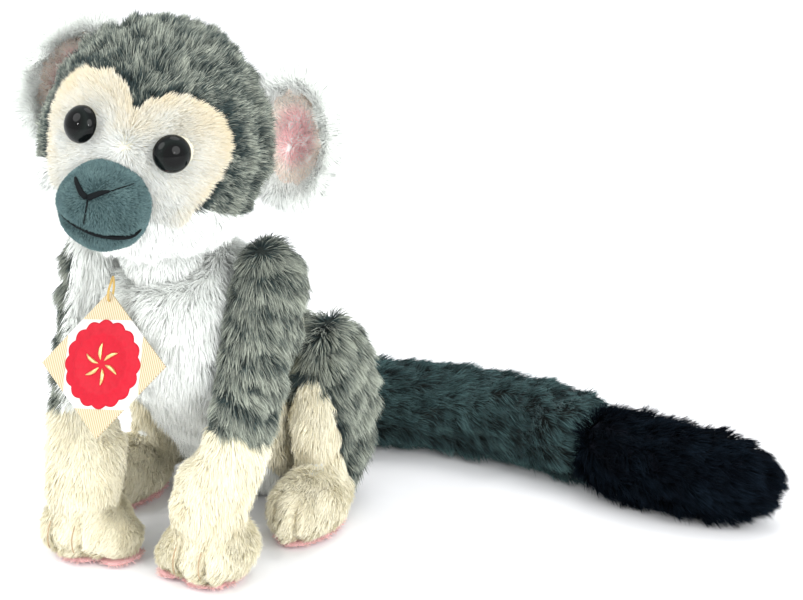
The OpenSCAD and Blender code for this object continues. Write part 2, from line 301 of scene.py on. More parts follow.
class Dye:
    """One material, written as expressions on its sockets."""

    def __init__(self, name):
        self.material = bpy.data.materials.new(name)
        self.material.use_nodes = True
        self.tree = self.material.node_tree
        self.tree.nodes.clear()

    def add(self, kind, settings=None, sockets=None, output=0):
        node = self.tree.nodes.new(kind)
        for key, value in (settings or {}).items():
            if key == "stops":
                self.set_stops(node.color_ramp, value)
            else:
                setattr(node, key, value)
        for key, value in (sockets or {}).items():
            if isinstance(value, Value):
                self.tree.links.new(value.socket, node.inputs[key])
            else:
                node.inputs[key].default_value = value
        return Value(self, node.outputs[output])

    @staticmethod
    def set_stops(ramp, stops):
        while len(ramp.elements) < len(stops):
            ramp.elements.new(1.0)
        for element, (at, colour) in zip(ramp.elements, stops):
            element.position = at
            element.color = (*colour[:3], 1.0)

    def ramp(self, value, stops):
        return self.add("ShaderNodeValToRGB", {"stops": stops}, {"Fac": value})

    def mix(self, share, first, second):
        first, second = (c if isinstance(c, Value) else (*c[:3], 1.0) for c in (first, second))
        return self.add("ShaderNodeMix", {"data_type": "RGBA"}, {0: share, 6: first, 7: second}, output=2)

    def place(self, size):
        """Where a point is on the piece, in units of size millimetres."""
        at = self.add("ShaderNodeTexCoord", output="Object")
        scale = 1.0 / (size * MM)
        return self.add("ShaderNodeVectorMath", {"operation": "SCALE"}, {0: at, "Scale": scale})

    def noise(self, size, detail=3.0, rough=0.55):
        sockets = {"Vector": self.place(size), "Detail": detail, "Roughness": rough}
        return self.add("ShaderNodeTexNoise", None, sockets)

    def strand(self):
        """A point's two OFBake numbers: on pile, how far it is along its strand, and the tone."""
        at = self.add("ShaderNodeUVMap", {"uv_map": "OFBake"})
        split = self.add("ShaderNodeSeparateXYZ", None, {0: at})
        return split, Value(self, split.socket.node.outputs[1])

    def bump(self, height, strength, depth):
        sockets = {"Height": height, "Strength": strength, "Distance": depth * MM}
        return self.add("ShaderNodeBump", None, sockets)

    def finish(self, colour, roughness=0.8, bump=None, **more):
        """Ends the material: colour, roughness and bump may vary, and the rest are plain numbers."""
        base = colour if isinstance(colour, Value) else (*colour[:3], 1.0)
        sockets = {"Base Color": base, "Roughness": roughness}
        if bump is not None:
            sockets["Normal"] = bump
        sockets.update({key.replace("_", " "): value for key, value in more.items()})
        surface = self.add("ShaderNodeBsdfPrincipled", None, sockets)
        end = self.tree.nodes.new("ShaderNodeOutputMaterial")
        self.tree.links.new(surface.socket, end.inputs["Surface"])
        return self.material


FINISHES = {}


def finish_of(name, make):
    """The material of that name, made the first time it is asked for."""
    if name not in FINISHES:
        FINISHES[name] = make(Dye(name))
    return FINISHES[name]


def pile_finish(plain_stops, other_stops, sheen=0.2, roughness=0.75, shine=0.2, contrast=1.0):
    """Pile whose strands run between two colourings, each from root to tip."""

    def make(dye):
        along, tone = dye.strand()
        share = (tone * contrast + (0.5 - 0.5 * contrast)).clamped()
        colour = dye.mix(share, dye.ramp(along, plain_stops), dye.ramp(along, other_stops))
        gloss = {"Sheen_Weight": sheen, "Sheen_Roughness": 0.4, "Specular_IOR_Level": shine}
        return dye.finish(colour, roughness, **gloss)

    return make


def backing_finish(colour, shade, size=2.2):
    """The knitted backing under the pile, with its colour a little uneven."""

    def make(dye):
        tufts = dye.noise(size)
        patches = dye.noise(size * 7, detail=1.0)
        base = dye.mix((tufts * 0.7 + patches * 0.5 - 0.1).clamped(), shade, colour)
        return dye.finish(base, 0.95, dye.bump(tufts, 0.6, 0.6), Specular_IOR_Level=0.1)

    return make


def tinted(colour, gain, add=(0.0, 0.0, 0.0)):
    return tuple(min(1.0, max(0.0, c * gain + a)) for c, a in zip(colour, add))


def backing(kind):
    """The knitted backing of one coat."""
    base, shade = {
        "grizzled": ((0.045, 0.055, 0.05), (0.012, 0.016, 0.015)),
        "white": (colours().white, tinted(colours().white, 0.8)),
        "cream": (colours().cream, tinted(colours().cream, 0.8)),
        "black": ((0.012, 0.014, 0.022), (0.004, 0.005, 0.008)),
    }[kind]
    return finish_of("backing_" + kind, backing_finish(base, shade))


def grizzled():
    root, tip = colours().grizzle_root, colours().grizzle_tip
    return pile_finish(
        [(0.0, root), (0.55, tinted(root, 1.4)), (1.0, tinted(root, 3.2))],
        [(0.0, root), (0.25, tinted(root, 3.6)), (0.55, tinted(tip, 0.55)), (1.0, tip)],
        sheen=0.1,
        contrast=1.45,
    )


def tail_grey():
    root, tip = colours().grizzle_root, colours().grizzle_tip
    dark_end = tinted(root, 3.0, (-0.012, 0.006, 0.012))
    pale_end = tinted(tip, 0.42, (-0.09, 0.0, 0.03))
    return pile_finish(
        [(0.0, tinted(root, 0.5)), (0.5, tinted(root, 1.2)), (1.0, dark_end)],
        [(0.0, root), (0.35, tinted(root, 2.2)), (0.7, (0.09, 0.17, 0.175)), (1.0, pale_end)],
        sheen=0.05,
    )


def night_black():
    return pile_finish(
        [(0.0, (0.0006, 0.001, 0.002)), (1.0, (0.0015, 0.003, 0.006))],
        [(0.0, (0.001, 0.002, 0.004)), (0.6, (0.003, 0.007, 0.012)), (1.0, (0.012, 0.022, 0.036))],
        sheen=0.0,
        roughness=0.9,
        shine=0.06,
    )


def cream():
    base = colours().cream
    warm_root = tinted(base, 0.84, (0.04, -0.06, -0.16))
    warm_middle = tinted(base, 0.95, (0.03, -0.03, -0.12))
    return pile_finish(
        [(0.0, tinted(base, 0.92)), (0.6, tinted(base, 1.03)), (1.0, tinted(base, 1.08, (0, 0, 0.03)))],
        [(0.0, warm_root), (0.6, warm_middle), (1.0, base)],
    )


def face_white():
    """The face: white by the muzzle, and a warm cream tint towards the brow and the temples."""
    pale, base = colours().white, colours().cream
    warm_root = tinted(base, 0.76, (0.05, -0.02, -0.10))
    warm_tip = tinted(base, 0.84, (0.04, -0.01, -0.05))
    return pile_finish(
        [(0.0, tinted(pale, 0.80)), (1.0, tinted(pale, 0.86))],
        [(0.0, warm_root), (1.0, warm_tip)],
    )


def white():
    base = colours().white
    return pile_finish(
        [(0.0, tinted(base, 0.98)), (0.6, tinted(base, 1.02)), (1.0, tinted(base, 1.05))],
        [(0.0, tinted(base, 0.84)), (0.6, tinted(base, 0.92)), (1.0, tinted(base, 0.98))],
    )


def blush():
    base = colours().pink
    pale_root = tinted(colours().cream, 0.96, (0.04, -0.04, -0.02))
    pale_tip = tinted(colours().white, 1.0, (0.03, -0.01, -0.05))
    return pile_finish(
        [(0.0, tinted(base, 0.92)), (1.0, tinted(base, 1.02, (0, 0.05, 0.05)))],
        [(0.0, pale_root), (1.0, pale_tip)],
    )


def felt_grey():
    return pile_finish(
        [(0.0, (0.040, 0.074, 0.080)), (1.0, (0.082, 0.145, 0.152))],
        [(0.0, (0.062, 0.108, 0.112)), (1.0, (0.185, 0.290, 0.285))],
        sheen=0.05,
    )


def thread_finish(colour, pitch=1.0):
    """Twisted thread: fine slanting plies and a little gloss."""

    def make(dye):
        at = dye.place(pitch)
        plies = dye.add("ShaderNodeTexWave", {"bands_direction": "DIAGONAL"}, {"Vector": at, "Scale": 1.4})
        uneven = dye.noise(0.7)
        base = dye.mix((plies * 0.6 + uneven * 0.4).clamped(), tinted(colour, 0.6), tinted(colour, 1.25))
        return dye.finish(base, 0.7, dye.bump(plies, 0.5, 0.15), Specular_IOR_Level=0.12)

    return make


# each slot's pile: the name of its finish, and what makes it
COATS = {
    "grizzled_plush": ("grizzled_pile", grizzled),
    "face_plush": ("face_pile", face_white),
    "white_plush": ("white_pile", white),
    "cream_plush": ("cream_pile", cream),
    "grey_plush": ("felt_pile", felt_grey),
    "pink_plush": ("blush_pile", blush),
    "pink_fabric": ("blush_pile", blush),
    "tail_plush": ("tail_pile", tail_grey),
    "black_plush": ("night_pile", night_black),
}


# ---------------------------------------------------------------- meshes


def placed(name, data):
    """A new object for a mesh, a light or a camera, in the scene."""
    thing = bpy.data.objects.new(name, data)
    bpy.context.scene.collection.objects.link(thing)
    return thing


def mesh_from(shape, name):
    """Ends a shape that was being worked on as a new mesh."""
    mesh = bpy.data.meshes.new(name)
    shape.to_mesh(mesh)
    shape.free()
    return mesh


def new_piece(name, points, faces, material, smooth=True):
    """A piece from points in millimetres and its faces."""
    mesh = bpy.data.meshes.new(name)
    mesh.from_pydata((np.asarray(points) * MM).tolist(), [], faces)
    mesh.validate()
    if smooth:
        mesh.shade_smooth()
    mesh.materials.append(material)
    return placed(name, mesh)


def points_of(mesh):
    """A mesh's points in millimetres."""
    flat = np.empty(len(mesh.vertices) * 3)
    mesh.vertices.foreach_get("co", flat)
    return flat.reshape(-1, 3) / MM


def set_points(mesh, points):
    mesh.vertices.foreach_set("co", (np.asarray(points) * MM).ravel())
    mesh.update()


def normals_of(mesh):
    flat = np.empty(len(mesh.vertices) * 3)
    mesh.vertex_normals.foreach_get("vector", flat)
    return flat.reshape(-1, 3)


def applied(piece):
    """Works the piece's modifiers into its mesh."""
    bpy.context.view_layer.update()
    shaped = bpy.data.meshes.new_from_object(piece.evaluated_get(bpy.context.evaluated_depsgraph_get()))
    old = piece.data
    piece.modifiers.clear()
    piece.data = shaped
    bpy.data.meshes.remove(old)
    return piece


def grid_faces(rows, columns, closed=False):
    """Faces between rows of points, each row closed on itself if asked."""
    faces = []
    for row in range(rows - 1):
        for column in range(columns if closed else columns - 1):
            here, above = row * columns, (row + 1) * columns
            after = (column + 1) % columns
            faces.append([here + column, here + after, above + after, above + column])
    return faces


def smooth_path(points, per_span):
    """A smooth curve through points."""
    points = np.asarray(points, float)
    padded = np.vstack([2 * points[0] - points[1], points, 2 * points[-1] - points[-2]])
    found = []
    for i in range(len(points) - 1):
        a, b, c, d = padded[i : i + 4]
        for f in np.arange(per_span) / per_span:
            square, cube = 2 * a - 5 * b + 4 * c - d, 3 * b - a - 3 * c + d
            found.append(0.5 * (2 * b + (c - a) * f + square * f**2 + cube * f**3))
    found.append(points[-1])
    return np.array(found)


def round_tube(name, path, radius, material, sides=8, per_span=6, twist=0.0):
    """A tube along a smooth path, rounded at both ends. Its radius may be a list of one per path point."""
    line = smooth_path(path, per_span)
    radii = np.interp(np.linspace(0, 1, len(line)), np.linspace(0, 1, np.size(radius)), np.atleast_1d(radius))
    ahead = unit(np.gradient(line, axis=0))
    side = unit(np.cross(ahead, [0.31, 0.17, 0.93]))
    up = np.cross(side, ahead)
    ends = np.ones(len(line))
    ends[0] = ends[-1] = 0.35
    angles = np.arange(sides) * 2 * math.pi / sides
    rings = []
    for i in range(len(line)):
        turn = angles + twist * i
        ring = np.outer(np.cos(turn), side[i]) + np.outer(np.sin(turn), up[i])
        rings.append(line[i] + ring * radii[i] * ends[i])
    points = np.vstack(rings)
    faces = grid_faces(len(line), sides, closed=True)
    faces.append(list(range(sides))[::-1])
    faces.append([(len(line) - 1) * sides + k for k in range(sides)])
    return new_piece(name, points, faces, material)


def joined(name, pieces):
    """One piece from several, with the first one's material."""
    whole = bmesh.new()
    for piece in pieces:
        whole.from_mesh(piece.data)
    mesh = mesh_from(whole, name)
    mesh.shade_smooth()
    mesh.materials.append(pieces[0].data.materials[0])
    for piece in pieces:
        bpy.data.objects.remove(piece)
    return placed(name, mesh)


def ball_mesh(name, material, middle=(0.0, 0.0, 0.0), radius=1.0, finely=5):
    """A ball of even triangles, in millimetres."""
    shape = bmesh.new()
    bmesh.ops.create_icosphere(shape, subdivisions=finely, radius=1.0)
    mesh = mesh_from(shape, name)
    mesh.materials.append(material)
    mesh.shade_smooth()
    flat = np.empty(len(mesh.vertices) * 3)
    mesh.vertices.foreach_get("co", flat)
    set_points(mesh, flat.reshape(-1, 3) * radius + np.asarray(middle, float))
    return placed(name, mesh)


def stuffed_skin(name, node, material, swell, voxel=3.0, rounds=8, cap=2.5):
    """The sewn skin of a stuffed part: its fill's form, remeshed, smoothed and puffed out as cloth."""
    whole = bmesh.new()
    whole.from_mesh(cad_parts[node].data)
    piece = placed(name, mesh_from(whole, name))
    remesh = piece.modifiers.new("Remesh", "REMESH")
    remesh.mode = "VOXEL"
    remesh.voxel_size = voxel * MM
    even = piece.modifiers.new("Smooth", "SMOOTH")
    even.factor = 0.5
    even.iterations = rounds
    applied(piece)
    keep_largest(piece.data)
    start = points_of(piece.data) + normals_of(piece.data) * swell
    start[:, 2] = np.maximum(start[:, 2], SKIN_FLOOR + 0.2)
    set_points(piece.data, start)
    puff_out(piece, cap)
    finer = piece.modifiers.new("Subdivision", "SUBSURF")
    finer.levels = finer.render_levels = 1
    applied(piece)
    points = points_of(piece.data)
    points[:, 2] = np.maximum(points[:, 2], SKIN_FLOOR)
    set_points(piece.data, points)
    piece.data.materials.clear()
    piece.data.materials.append(material)
    piece.data.shade_smooth()
    return piece


def keep_largest(mesh):
    """Keeps the one closed shell with the most points."""
    shape = bmesh.new()
    shape.from_mesh(mesh)
    shape.verts.ensure_lookup_table()
    seen, groups = set(), []
    for start in shape.verts:
        if start.index in seen:
            continue
        seen.add(start.index)
        group, waiting = [], [start]
        while waiting:
            vert = waiting.pop()
            group.append(vert)
            for edge in vert.link_edges:
                other = edge.other_vert(vert)
                if other.index not in seen:
                    seen.add(other.index)
                    waiting.append(other)
        groups.append(group)
    groups.sort(key=len)
    for group in groups[:-1]:
        bmesh.ops.delete(shape, geom=group, context="VERTS")
    shape.to_mesh(mesh)
    shape.free()


def puff_out(piece, cap):
    """Blows the skin up as the fill does, and keeps each point within cap millimetres of its start."""
    scene = bpy.context.scene
    start = points_of(piece.data)
    cloth = piece.modifiers.new("Cloth", "CLOTH")
    cloth.settings.use_pressure = True
    cloth.settings.uniform_pressure_force = FILL_PRESSURE
    cloth.settings.effector_weights.gravity = 0.0
    cloth.settings.mass = 0.1
    cloth.settings.quality = 5
    cloth.point_cache.frame_start = 1
    cloth.point_cache.frame_end = FILL_FRAMES
    for moment in range(1, FILL_FRAMES + 1):
        scene.frame_set(moment)
    applied(piece)
    scene.frame_set(1)
    moved = points_of(piece.data) - start
    far = np.linalg.norm(moved, axis=1, keepdims=True)
    moved = np.where(np.isfinite(moved), moved, 0) * np.minimum(1, cap / np.maximum(far, 1e-6))
    set_points(piece.data, start + moved)


# ---------------------------------------------------------------- pile


def grown_pile(
    name, skin, material, length, comb, tone, keep=None, per_mm2=3.5, lift=0.7, ruffle=0.35,
    clump=0.5, clump_size=3.0, droop=0.25, width=1.0, seed=1,
):
    """Pile on a skin: flat tapering strands that follow the comb and gather in tufts.

    length, comb, tone and keep are called with the roots and the skin's normals there, in millimetres.
    """
    draw = np.random.default_rng(seed)
    mesh = skin.data
    mesh.calc_loop_triangles()
    corners = np.empty(len(mesh.loop_triangles) * 3, np.int32)
    mesh.loop_triangles.foreach_get("vertices", corners)
    corners = corners.reshape(-1, 3)
    points, normals = points_of(mesh), normals_of(mesh)
    a, b, c = (points[corners[:, k]] for k in range(3))
    areas = np.linalg.norm(np.cross(b - a, c - a), axis=1) / 2
    edges = np.cumsum(areas)
    count = int(edges[-1] * per_mm2 * sizes().thickness * (1.0))
    chosen = np.minimum(np.searchsorted(edges, draw.uniform(0, edges[-1], count)), len(areas) - 1)
    s, t = draw.uniform(size=(2, count))
    s, t = np.where(s + t > 1, 1 - s, s), np.where(s + t > 1, 1 - t, t)
    weights = np.stack([1 - s - t, s, t], axis=1)[:, :, None]
    roots = (points[corners[chosen]] * weights).sum(axis=1)
    out = unit((normals[corners[chosen]] * weights).sum(axis=1))
    if keep is not None:
        kept = keep(roots, out)
        roots, out = roots[kept], out[kept]
    count = len(roots)
    flow = comb(roots, out)
    flow = unit(flow - out * (flow * out).sum(axis=1, keepdims=True))
    wander = np.stack([Ripple(seed * 10 + k, 9.0)(roots) for k in range(3)], axis=1)
    start = unit(out * lift + flow + wander * ruffle + draw.normal(size=(count, 3)) * ruffle * 0.45)
    reach = length(roots, out) * draw.uniform(0.72, 1.12, count)
    reach = reach[:, None]
    middle = roots + start * reach * 0.5
    bent = unit(start + flow * 0.35 + draw.normal(size=(count, 3)) * 0.12 - np.array([0, 0, droop]))
    tips = middle + bent * reach * 0.5
    tuft = gathered(roots, clump_size, draw)
    share = clump * draw.uniform(0.5, 1.0, (count, 1))
    middle = middle + (middle[tuft] - roots[tuft] + roots * 0.6 + roots[tuft] * 0.4 - middle) * share * 0.35
    tips = tips + (tips[tuft] - tips) * share
    roots = roots - out * 0.4
    for part in (middle, tips):
        low = part[:, 2] < PILE_FLOOR
        part[low, 2] = PILE_FLOOR + draw.uniform(0, 0.5, low.sum())
    shade = tone(roots, out, draw)
    shade = shade + (shade[tuft] - shade) * clump * 0.4
    return strands(name, roots, middle, tips, out, shade, width, material, draw)


def gathered(roots, size, draw):
    """For each root, the number of the root that its tuft gathers around."""
    count = len(roots)
    if count == 0:
        return np.zeros(0, int)
    middles = draw.choice(count, max(1, int(count / (size * size * 3.0))), replace=False)
    tree = KDTree(len(middles))
    for k, m in enumerate(middles):
        tree.insert(roots[m], k)
    tree.balance()
    return np.array([middles[tree.find(p)[1]] for p in roots.tolist()], dtype=int)


def strands(name, roots, middle, tips, out, tone, width, material, draw):
    """One mesh of flat strands, each a four-sided and a three-sided face."""
    count = len(roots)
    ahead = unit(middle - roots)
    side = unit(np.cross(ahead, out) + 1e-6)
    up = np.cross(side, ahead)
    angle = draw.uniform(-1.0, 1.0, (count, 1))
    side = side * np.cos(angle) + up * np.sin(angle)
    half = side * sizes().strand_width / MM * width * 0.5 * draw.uniform(0.7, 1.3, (count, 1))
    points = np.stack([roots - half, roots + half, middle + half * 0.8, middle - half * 0.8, tips], axis=1)
    first = np.arange(count)[:, None] * 5
    loops = np.concatenate([first + [0, 1, 2, 3], first + [3, 2, 4]], axis=1)
    mesh = bpy.data.meshes.new(name)
    mesh.vertices.add(count * 5)
    mesh.loops.add(count * 7)
    mesh.polygons.add(count * 2)
    mesh.vertices.foreach_set("co", (points.reshape(-1, 3) * MM).ravel())
    mesh.loops.foreach_set("vertex_index", loops.ravel().astype(np.int32))
    starts = np.arange(count)[:, None] * 7 + [0, 4]
    mesh.polygons.foreach_set("loop_start", starts.ravel().astype(np.int32))
    mesh.update(calc_edges=True)
    tone = np.clip(tone, 0.03, 0.97)[:, None]
    along = np.tile([0, 0, 0.5, 0.5, 0.5, 0.5, 1.0], (count, 1))
    across = tone + np.array([-1, 1, 1, -1, -1, 1, 0]) * 0.02
    where = mesh.uv_layers.new(name="OFBake")
    where.data.foreach_set("uv", np.stack([along, across], axis=2).ravel())
    mesh.shade_smooth()
    mesh.materials.append(material)
    return placed(name, mesh)


def belongs(piece, body, slot, *nodes):
    """Fixes a piece to its body, and hides the frame's solids that it stands for; its finish's slot is not
    used.
    """
    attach(piece, body)
    if nodes:
        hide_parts(*nodes)
    return piece


def steady(value):
    return lambda roots, out: np.full(len(roots), float(value))


def towards(x, y, z):
    return lambda roots, out: np.tile(np.array([x, y, z], float), (len(roots), 1))


def mixed_tone(share, spread=0.5, seed=5, size=11.0):
    """Strands of both colourings, in soft patches."""

    def tone(roots, out, draw):
        return share + spread * 0.5 * Ripple(seed, size)(roots) + draw.normal(size=len(roots)) * spread * 0.6

    return tone


def pile_length(kind):
    return getattr(sizes(), kind) / MM


# ---------------------------------------------------------------- head


def head_surface(directions):
    """The stuffed head under its pile, for directions from its middle, in the head's own frame."""
    radii = HEAD_RADII - 3.2
    points = unit(directions) * (1 / np.linalg.norm(unit(directions) / radii, axis=1, keepdims=True))
    x, y, z = points.T
    front = smooth_step(-8, -30, y)
    cheeks = np.exp(-(((np.abs(x) - 25) / 11) ** 2 + ((z + 18) / 11) ** 2)) * smooth_step(10, -20, y)
    brow = np.exp(-(((np.abs(x) - 15) / 10) ** 2 + ((z - 20) / 6) ** 2)) * front
    sockets = np.exp(-(((np.abs(x) - EYE_AT[0]) / 5.0) ** 2 + ((z - EYE_AT[2]) / 5.0) ** 2)) * front
    bridge = np.exp(-((x / 6) ** 2 + ((z - 6) / 12) ** 2)) * front
    peak = np.exp(-((x / 16) ** 2)) * smooth_step(20, 42, z)
    rise = 2.6 * cheeks + 1.8 * brow - 0.6 * sockets + 1.8 * bridge + 0.8 * peak
    return points + unit(points) * rise[:, None]


def face_lobes(x, z, spare=0.0):
    """True inside the pale heart-shaped face, seen from the front."""
    lobes = np.hypot(np.abs(x) - 14.0, z - 6.0) < 15.6 + spare
    chin = np.hypot(x, z + 14.0) < 23.0 + spare
    temples = (np.abs(x) < 29.0 + spare - 0.36 * np.clip(-z, 0, 30)) & (z < 6) & (z > -20)
    return lobes | chin | temples


def head_zone(roots):
    """0 for the grizzled cap, 1 for the pale face and 2 for the white ruff."""
    local = to_head(roots)
    stray = Ripple(71, 4.0)(roots) * 0.35
    x, y, z = local[:, 0] + stray, local[:, 1], local[:, 2] + Ripple(72, 5.0)(roots) * 0.35
    face = face_lobes(x, z) & (y < -8)
    ruff_top = -13.0 - 0.10 * (y + 20)
    ruff = (z < ruff_top) & (y < 12) & ~(face & (z > -19))
    return np.where(ruff, 2, np.where(face, 1, 0))


def in_head_frame(flow):
    """A combing direction that is worked out in the head's own frame."""
    return lambda roots, out: flow(to_head(roots)) @ HEAD_TURNED.T


def away_from_face(local):
    return local - np.array([0, -46, 2.0])


def stuffed(piece, body, slot, fill, *nodes):
    """Fixes a stuffed skin to its body; how tightly it is filled is not used."""
    belongs(piece, body, slot, *nodes)


def sew_pile(name, skin, body, slot, nodes, length, comb, tone, **how):
    """Grows one coat's pile on a skin, in place of the frame's solids of that coat."""
    finish_name, make = COATS[slot]
    pile = grown_pile(name, skin, finish_of(finish_name, make()), length, comb, tone, **how)
    belongs(pile, body, slot, *nodes)


def inner_side(roots, sign):
    """1 on the side of a limb that faces the trunk, and 0 on its outer side."""
    return smooth_step(30, 24, roots[:, 0] * sign)


def head_skin():
    skin = ball_mesh("head_skin", backing("grizzled"), finely=6)
    set_points(skin.data, from_head(head_surface(points_of(skin.data))))
    return skin


def colour_head_skin(skin):
    """Gives the three sewn panels of the head's backing their own colours."""
    skin.data.materials.append(backing("cream"))
    skin.data.materials.append(backing("white"))
    colour_faces(skin, head_zone)


def eye_distance(roots):
    """How far a root is from the nearer eye's middle, in the plane of the face."""
    local = to_head(roots)
    return np.hypot(np.abs(local[:, 0]) - EYE_AT[0], local[:, 2] - EYE_AT[2])


def clear_of_face_parts(roots, spare):
    """True where no eye or muzzle sits on the head."""
    local = to_head(roots)
    muzzle = np.linalg.norm((local - MUZZLE_AT) / (MUZZLE_RADII + spare), axis=1) > 1
    return muzzle & ((eye_distance(roots) > EYE_RADIUS - 0.9) | (local[:, 1] > 0))


def colour_faces(skin, zone_of):
    """Gives each face of a skin the material of its zone."""
    middles = np.array([f.center for f in skin.data.polygons]) / MM
    for face, zone in zip(skin.data.polygons, zone_of(middles)):
        face.material_index = int(zone)


def sew_head():
    skin = head_skin()
    colour_head_skin(skin)
    stuffed(skin, "head", "stuffing", 0.9, "head_stuffing")
    long_pile, short_pile = pile_length("long_pile"), pile_length("short_pile")

    def cap_tone(roots, out, draw):
        local = to_head(roots)
        patch = Ripple(11, 9.0)(roots) * 0.15 + Ripple(12, 4.0)(roots) * 0.06
        # painted shade: cap strands along the face border are made darker, standing in for the shadow of the
        # fur at that seam
        face_border_shade = face_lobes(local[:, 0], local[:, 2], 2.6) * (local[:, 1] < -8)
        seam = face_border_shade * (0.30 + 0.25 * Ripple(13, 6.0)(roots))
        back = smooth_step(0, 30, local[:, 1]) * 0.15
        return 0.44 + patch - seam - back + draw.normal(size=len(roots)) * 0.26

    def cap_length(roots, out):
        local = to_head(roots)
        near_face = smooth_step(18, 34, eye_distance(roots)) * 0.40 + 0.60
        return long_pile * 0.8 * np.where(local[:, 1] < -8, near_face, 1.0)

    def mask_tone(roots, out, draw):
        x, _, z = to_head(roots).T
        edge = 1.0 - 0.5 * face_lobes(x, z, -2.0) - 0.5 * face_lobes(x, z, -5.0)
        brow = smooth_step(0, 18, z) * 0.40
        brow = brow + smooth_step(12, 27, np.abs(x)) * smooth_step(-22, -8, z) * 0.30
        return 0.04 + 0.28 * edge + brow + Ripple(14, 8.0)(roots) * 0.08 + draw.normal(size=len(roots)) * 0.12

    def mask_length(roots, out):
        close = smooth_step(EYE_RADIUS, EYE_RADIUS + 5, eye_distance(roots))
        return short_pile * (0.75 + 0.25 * close)

    def in_half(front):
        return lambda r, n: (head_zone(r) == 0) & ((to_head(r)[:, 1] < 2) == front)

    combed = in_head_frame(away_from_face)
    for half, seed in (("front", 2), ("back", 3)):
        sew_pile(
            "cap_pile_" + half, skin, "head", "grizzled_plush", ["head_cap_fur"],
            cap_length, combed, cap_tone,
            keep=in_half(half == "front"), per_mm2=6.0, lift=0.55, ruffle=0.36,
            clump_size=2.2, droop=0.06, width=0.85, seed=seed,
        )
    sew_pile(
        "mask_pile", skin, "head", "face_plush", ["face_mask"], mask_length, combed, mask_tone,
        keep=lambda r, n: (head_zone(r) == 1) & clear_of_face_parts(r, -1.0),
        per_mm2=15.0, lift=0.9, ruffle=0.22, clump=0.15, clump_size=1.6, droop=0.0, width=0.7, seed=4,
    )
    downwards = in_head_frame(lambda p: away_from_face(p) * [1.2, 0.3, 1.0] + [0, 0, -14.0])
    sew_pile(
        "ruff_pile", skin, "head", "white_plush", ["cheek_ruff"],
        steady(long_pile * 0.85), downwards, mixed_tone(0.12, 0.35, 21),
        keep=lambda r, n: (head_zone(r) == 2) & clear_of_face_parts(r, -1.0),
        per_mm2=5.0, lift=0.75, ruffle=0.4, droop=0.15, seed=5,
    )


def sew_neck():
    core = ball_mesh("neck_roll", backing("white"), NECK_AT, NECK_RADIUS, finely=4)
    stuffed(core, "neck", "stuffing", 0.8, "neck_stuffing")
    sew_pile(
        "neck_pile", core, "neck", "white_plush", [],
        steady(4.0), towards(0, 0, -1), mixed_tone(0.3, 0.4, 22),
        per_mm2=3.0, lift=1.0, droop=0.2, seed=6,
    )


# ---------------------------------------------------------------- face


def muzzle_surface(directions):
    """The muzzle under its pile in the head's own frame: a blunt snout with two soft lips."""
    radii = MUZZLE_RADII - 1.0
    points = unit(directions) * radii
    x, y, z = points.T
    front = smooth_step(-2, -12, y)
    lips = np.exp(-(((np.abs(x + 1.5) - 6.5) / 5.2) ** 2 + ((z + 1.5) / 4.2) ** 2)) * front
    groove = np.exp(-((x + 1.6) / 1.2) ** 2) * smooth_step(4.5, 2, z) * smooth_step(-7, -4, z) * front
    smile = np.exp(-((z + 7.0 - 0.012 * (x - 1.5) ** 2) / 1.2) ** 2) * front
    nose = np.exp(-(((x + 2.4) / 6) ** 2 + ((z - 7.2) / 4.0) ** 2)) * front
    rise = 0.9 * lips - 1.2 * groove - 1.4 * smile + 1.3 * nose
    return points + unit(points) * rise[:, None] + MUZZLE_AT


def on_muzzle(x, z, proud):
    """A point of the muzzle's surface in front of x, z, in the head's own frame."""
    flat = np.array([x, z]) - [MUZZLE_AT[0], MUZZLE_AT[2]]
    inside = max(0.02, 1 - (flat[0] / (MUZZLE_RADII[0] - 1)) ** 2 - (flat[1] / (MUZZLE_RADII[2] - 1)) ** 2)
    ahead = np.array([[flat[0], -(MUZZLE_RADII[1] - 1) * math.sqrt(inside), flat[1]]])
    direction = ahead / (MUZZLE_RADII - 1)
    found = muzzle_surface(direction)[0]
    return found + unit(ahead)[0] * proud


def sewn_line(name, marks, radius, proud, material):
    path = [on_muzzle(x, z, proud) for x, z in marks]
    return round_tube(name, from_head(path), radius, material, sides=8, per_span=5, twist=0.35)


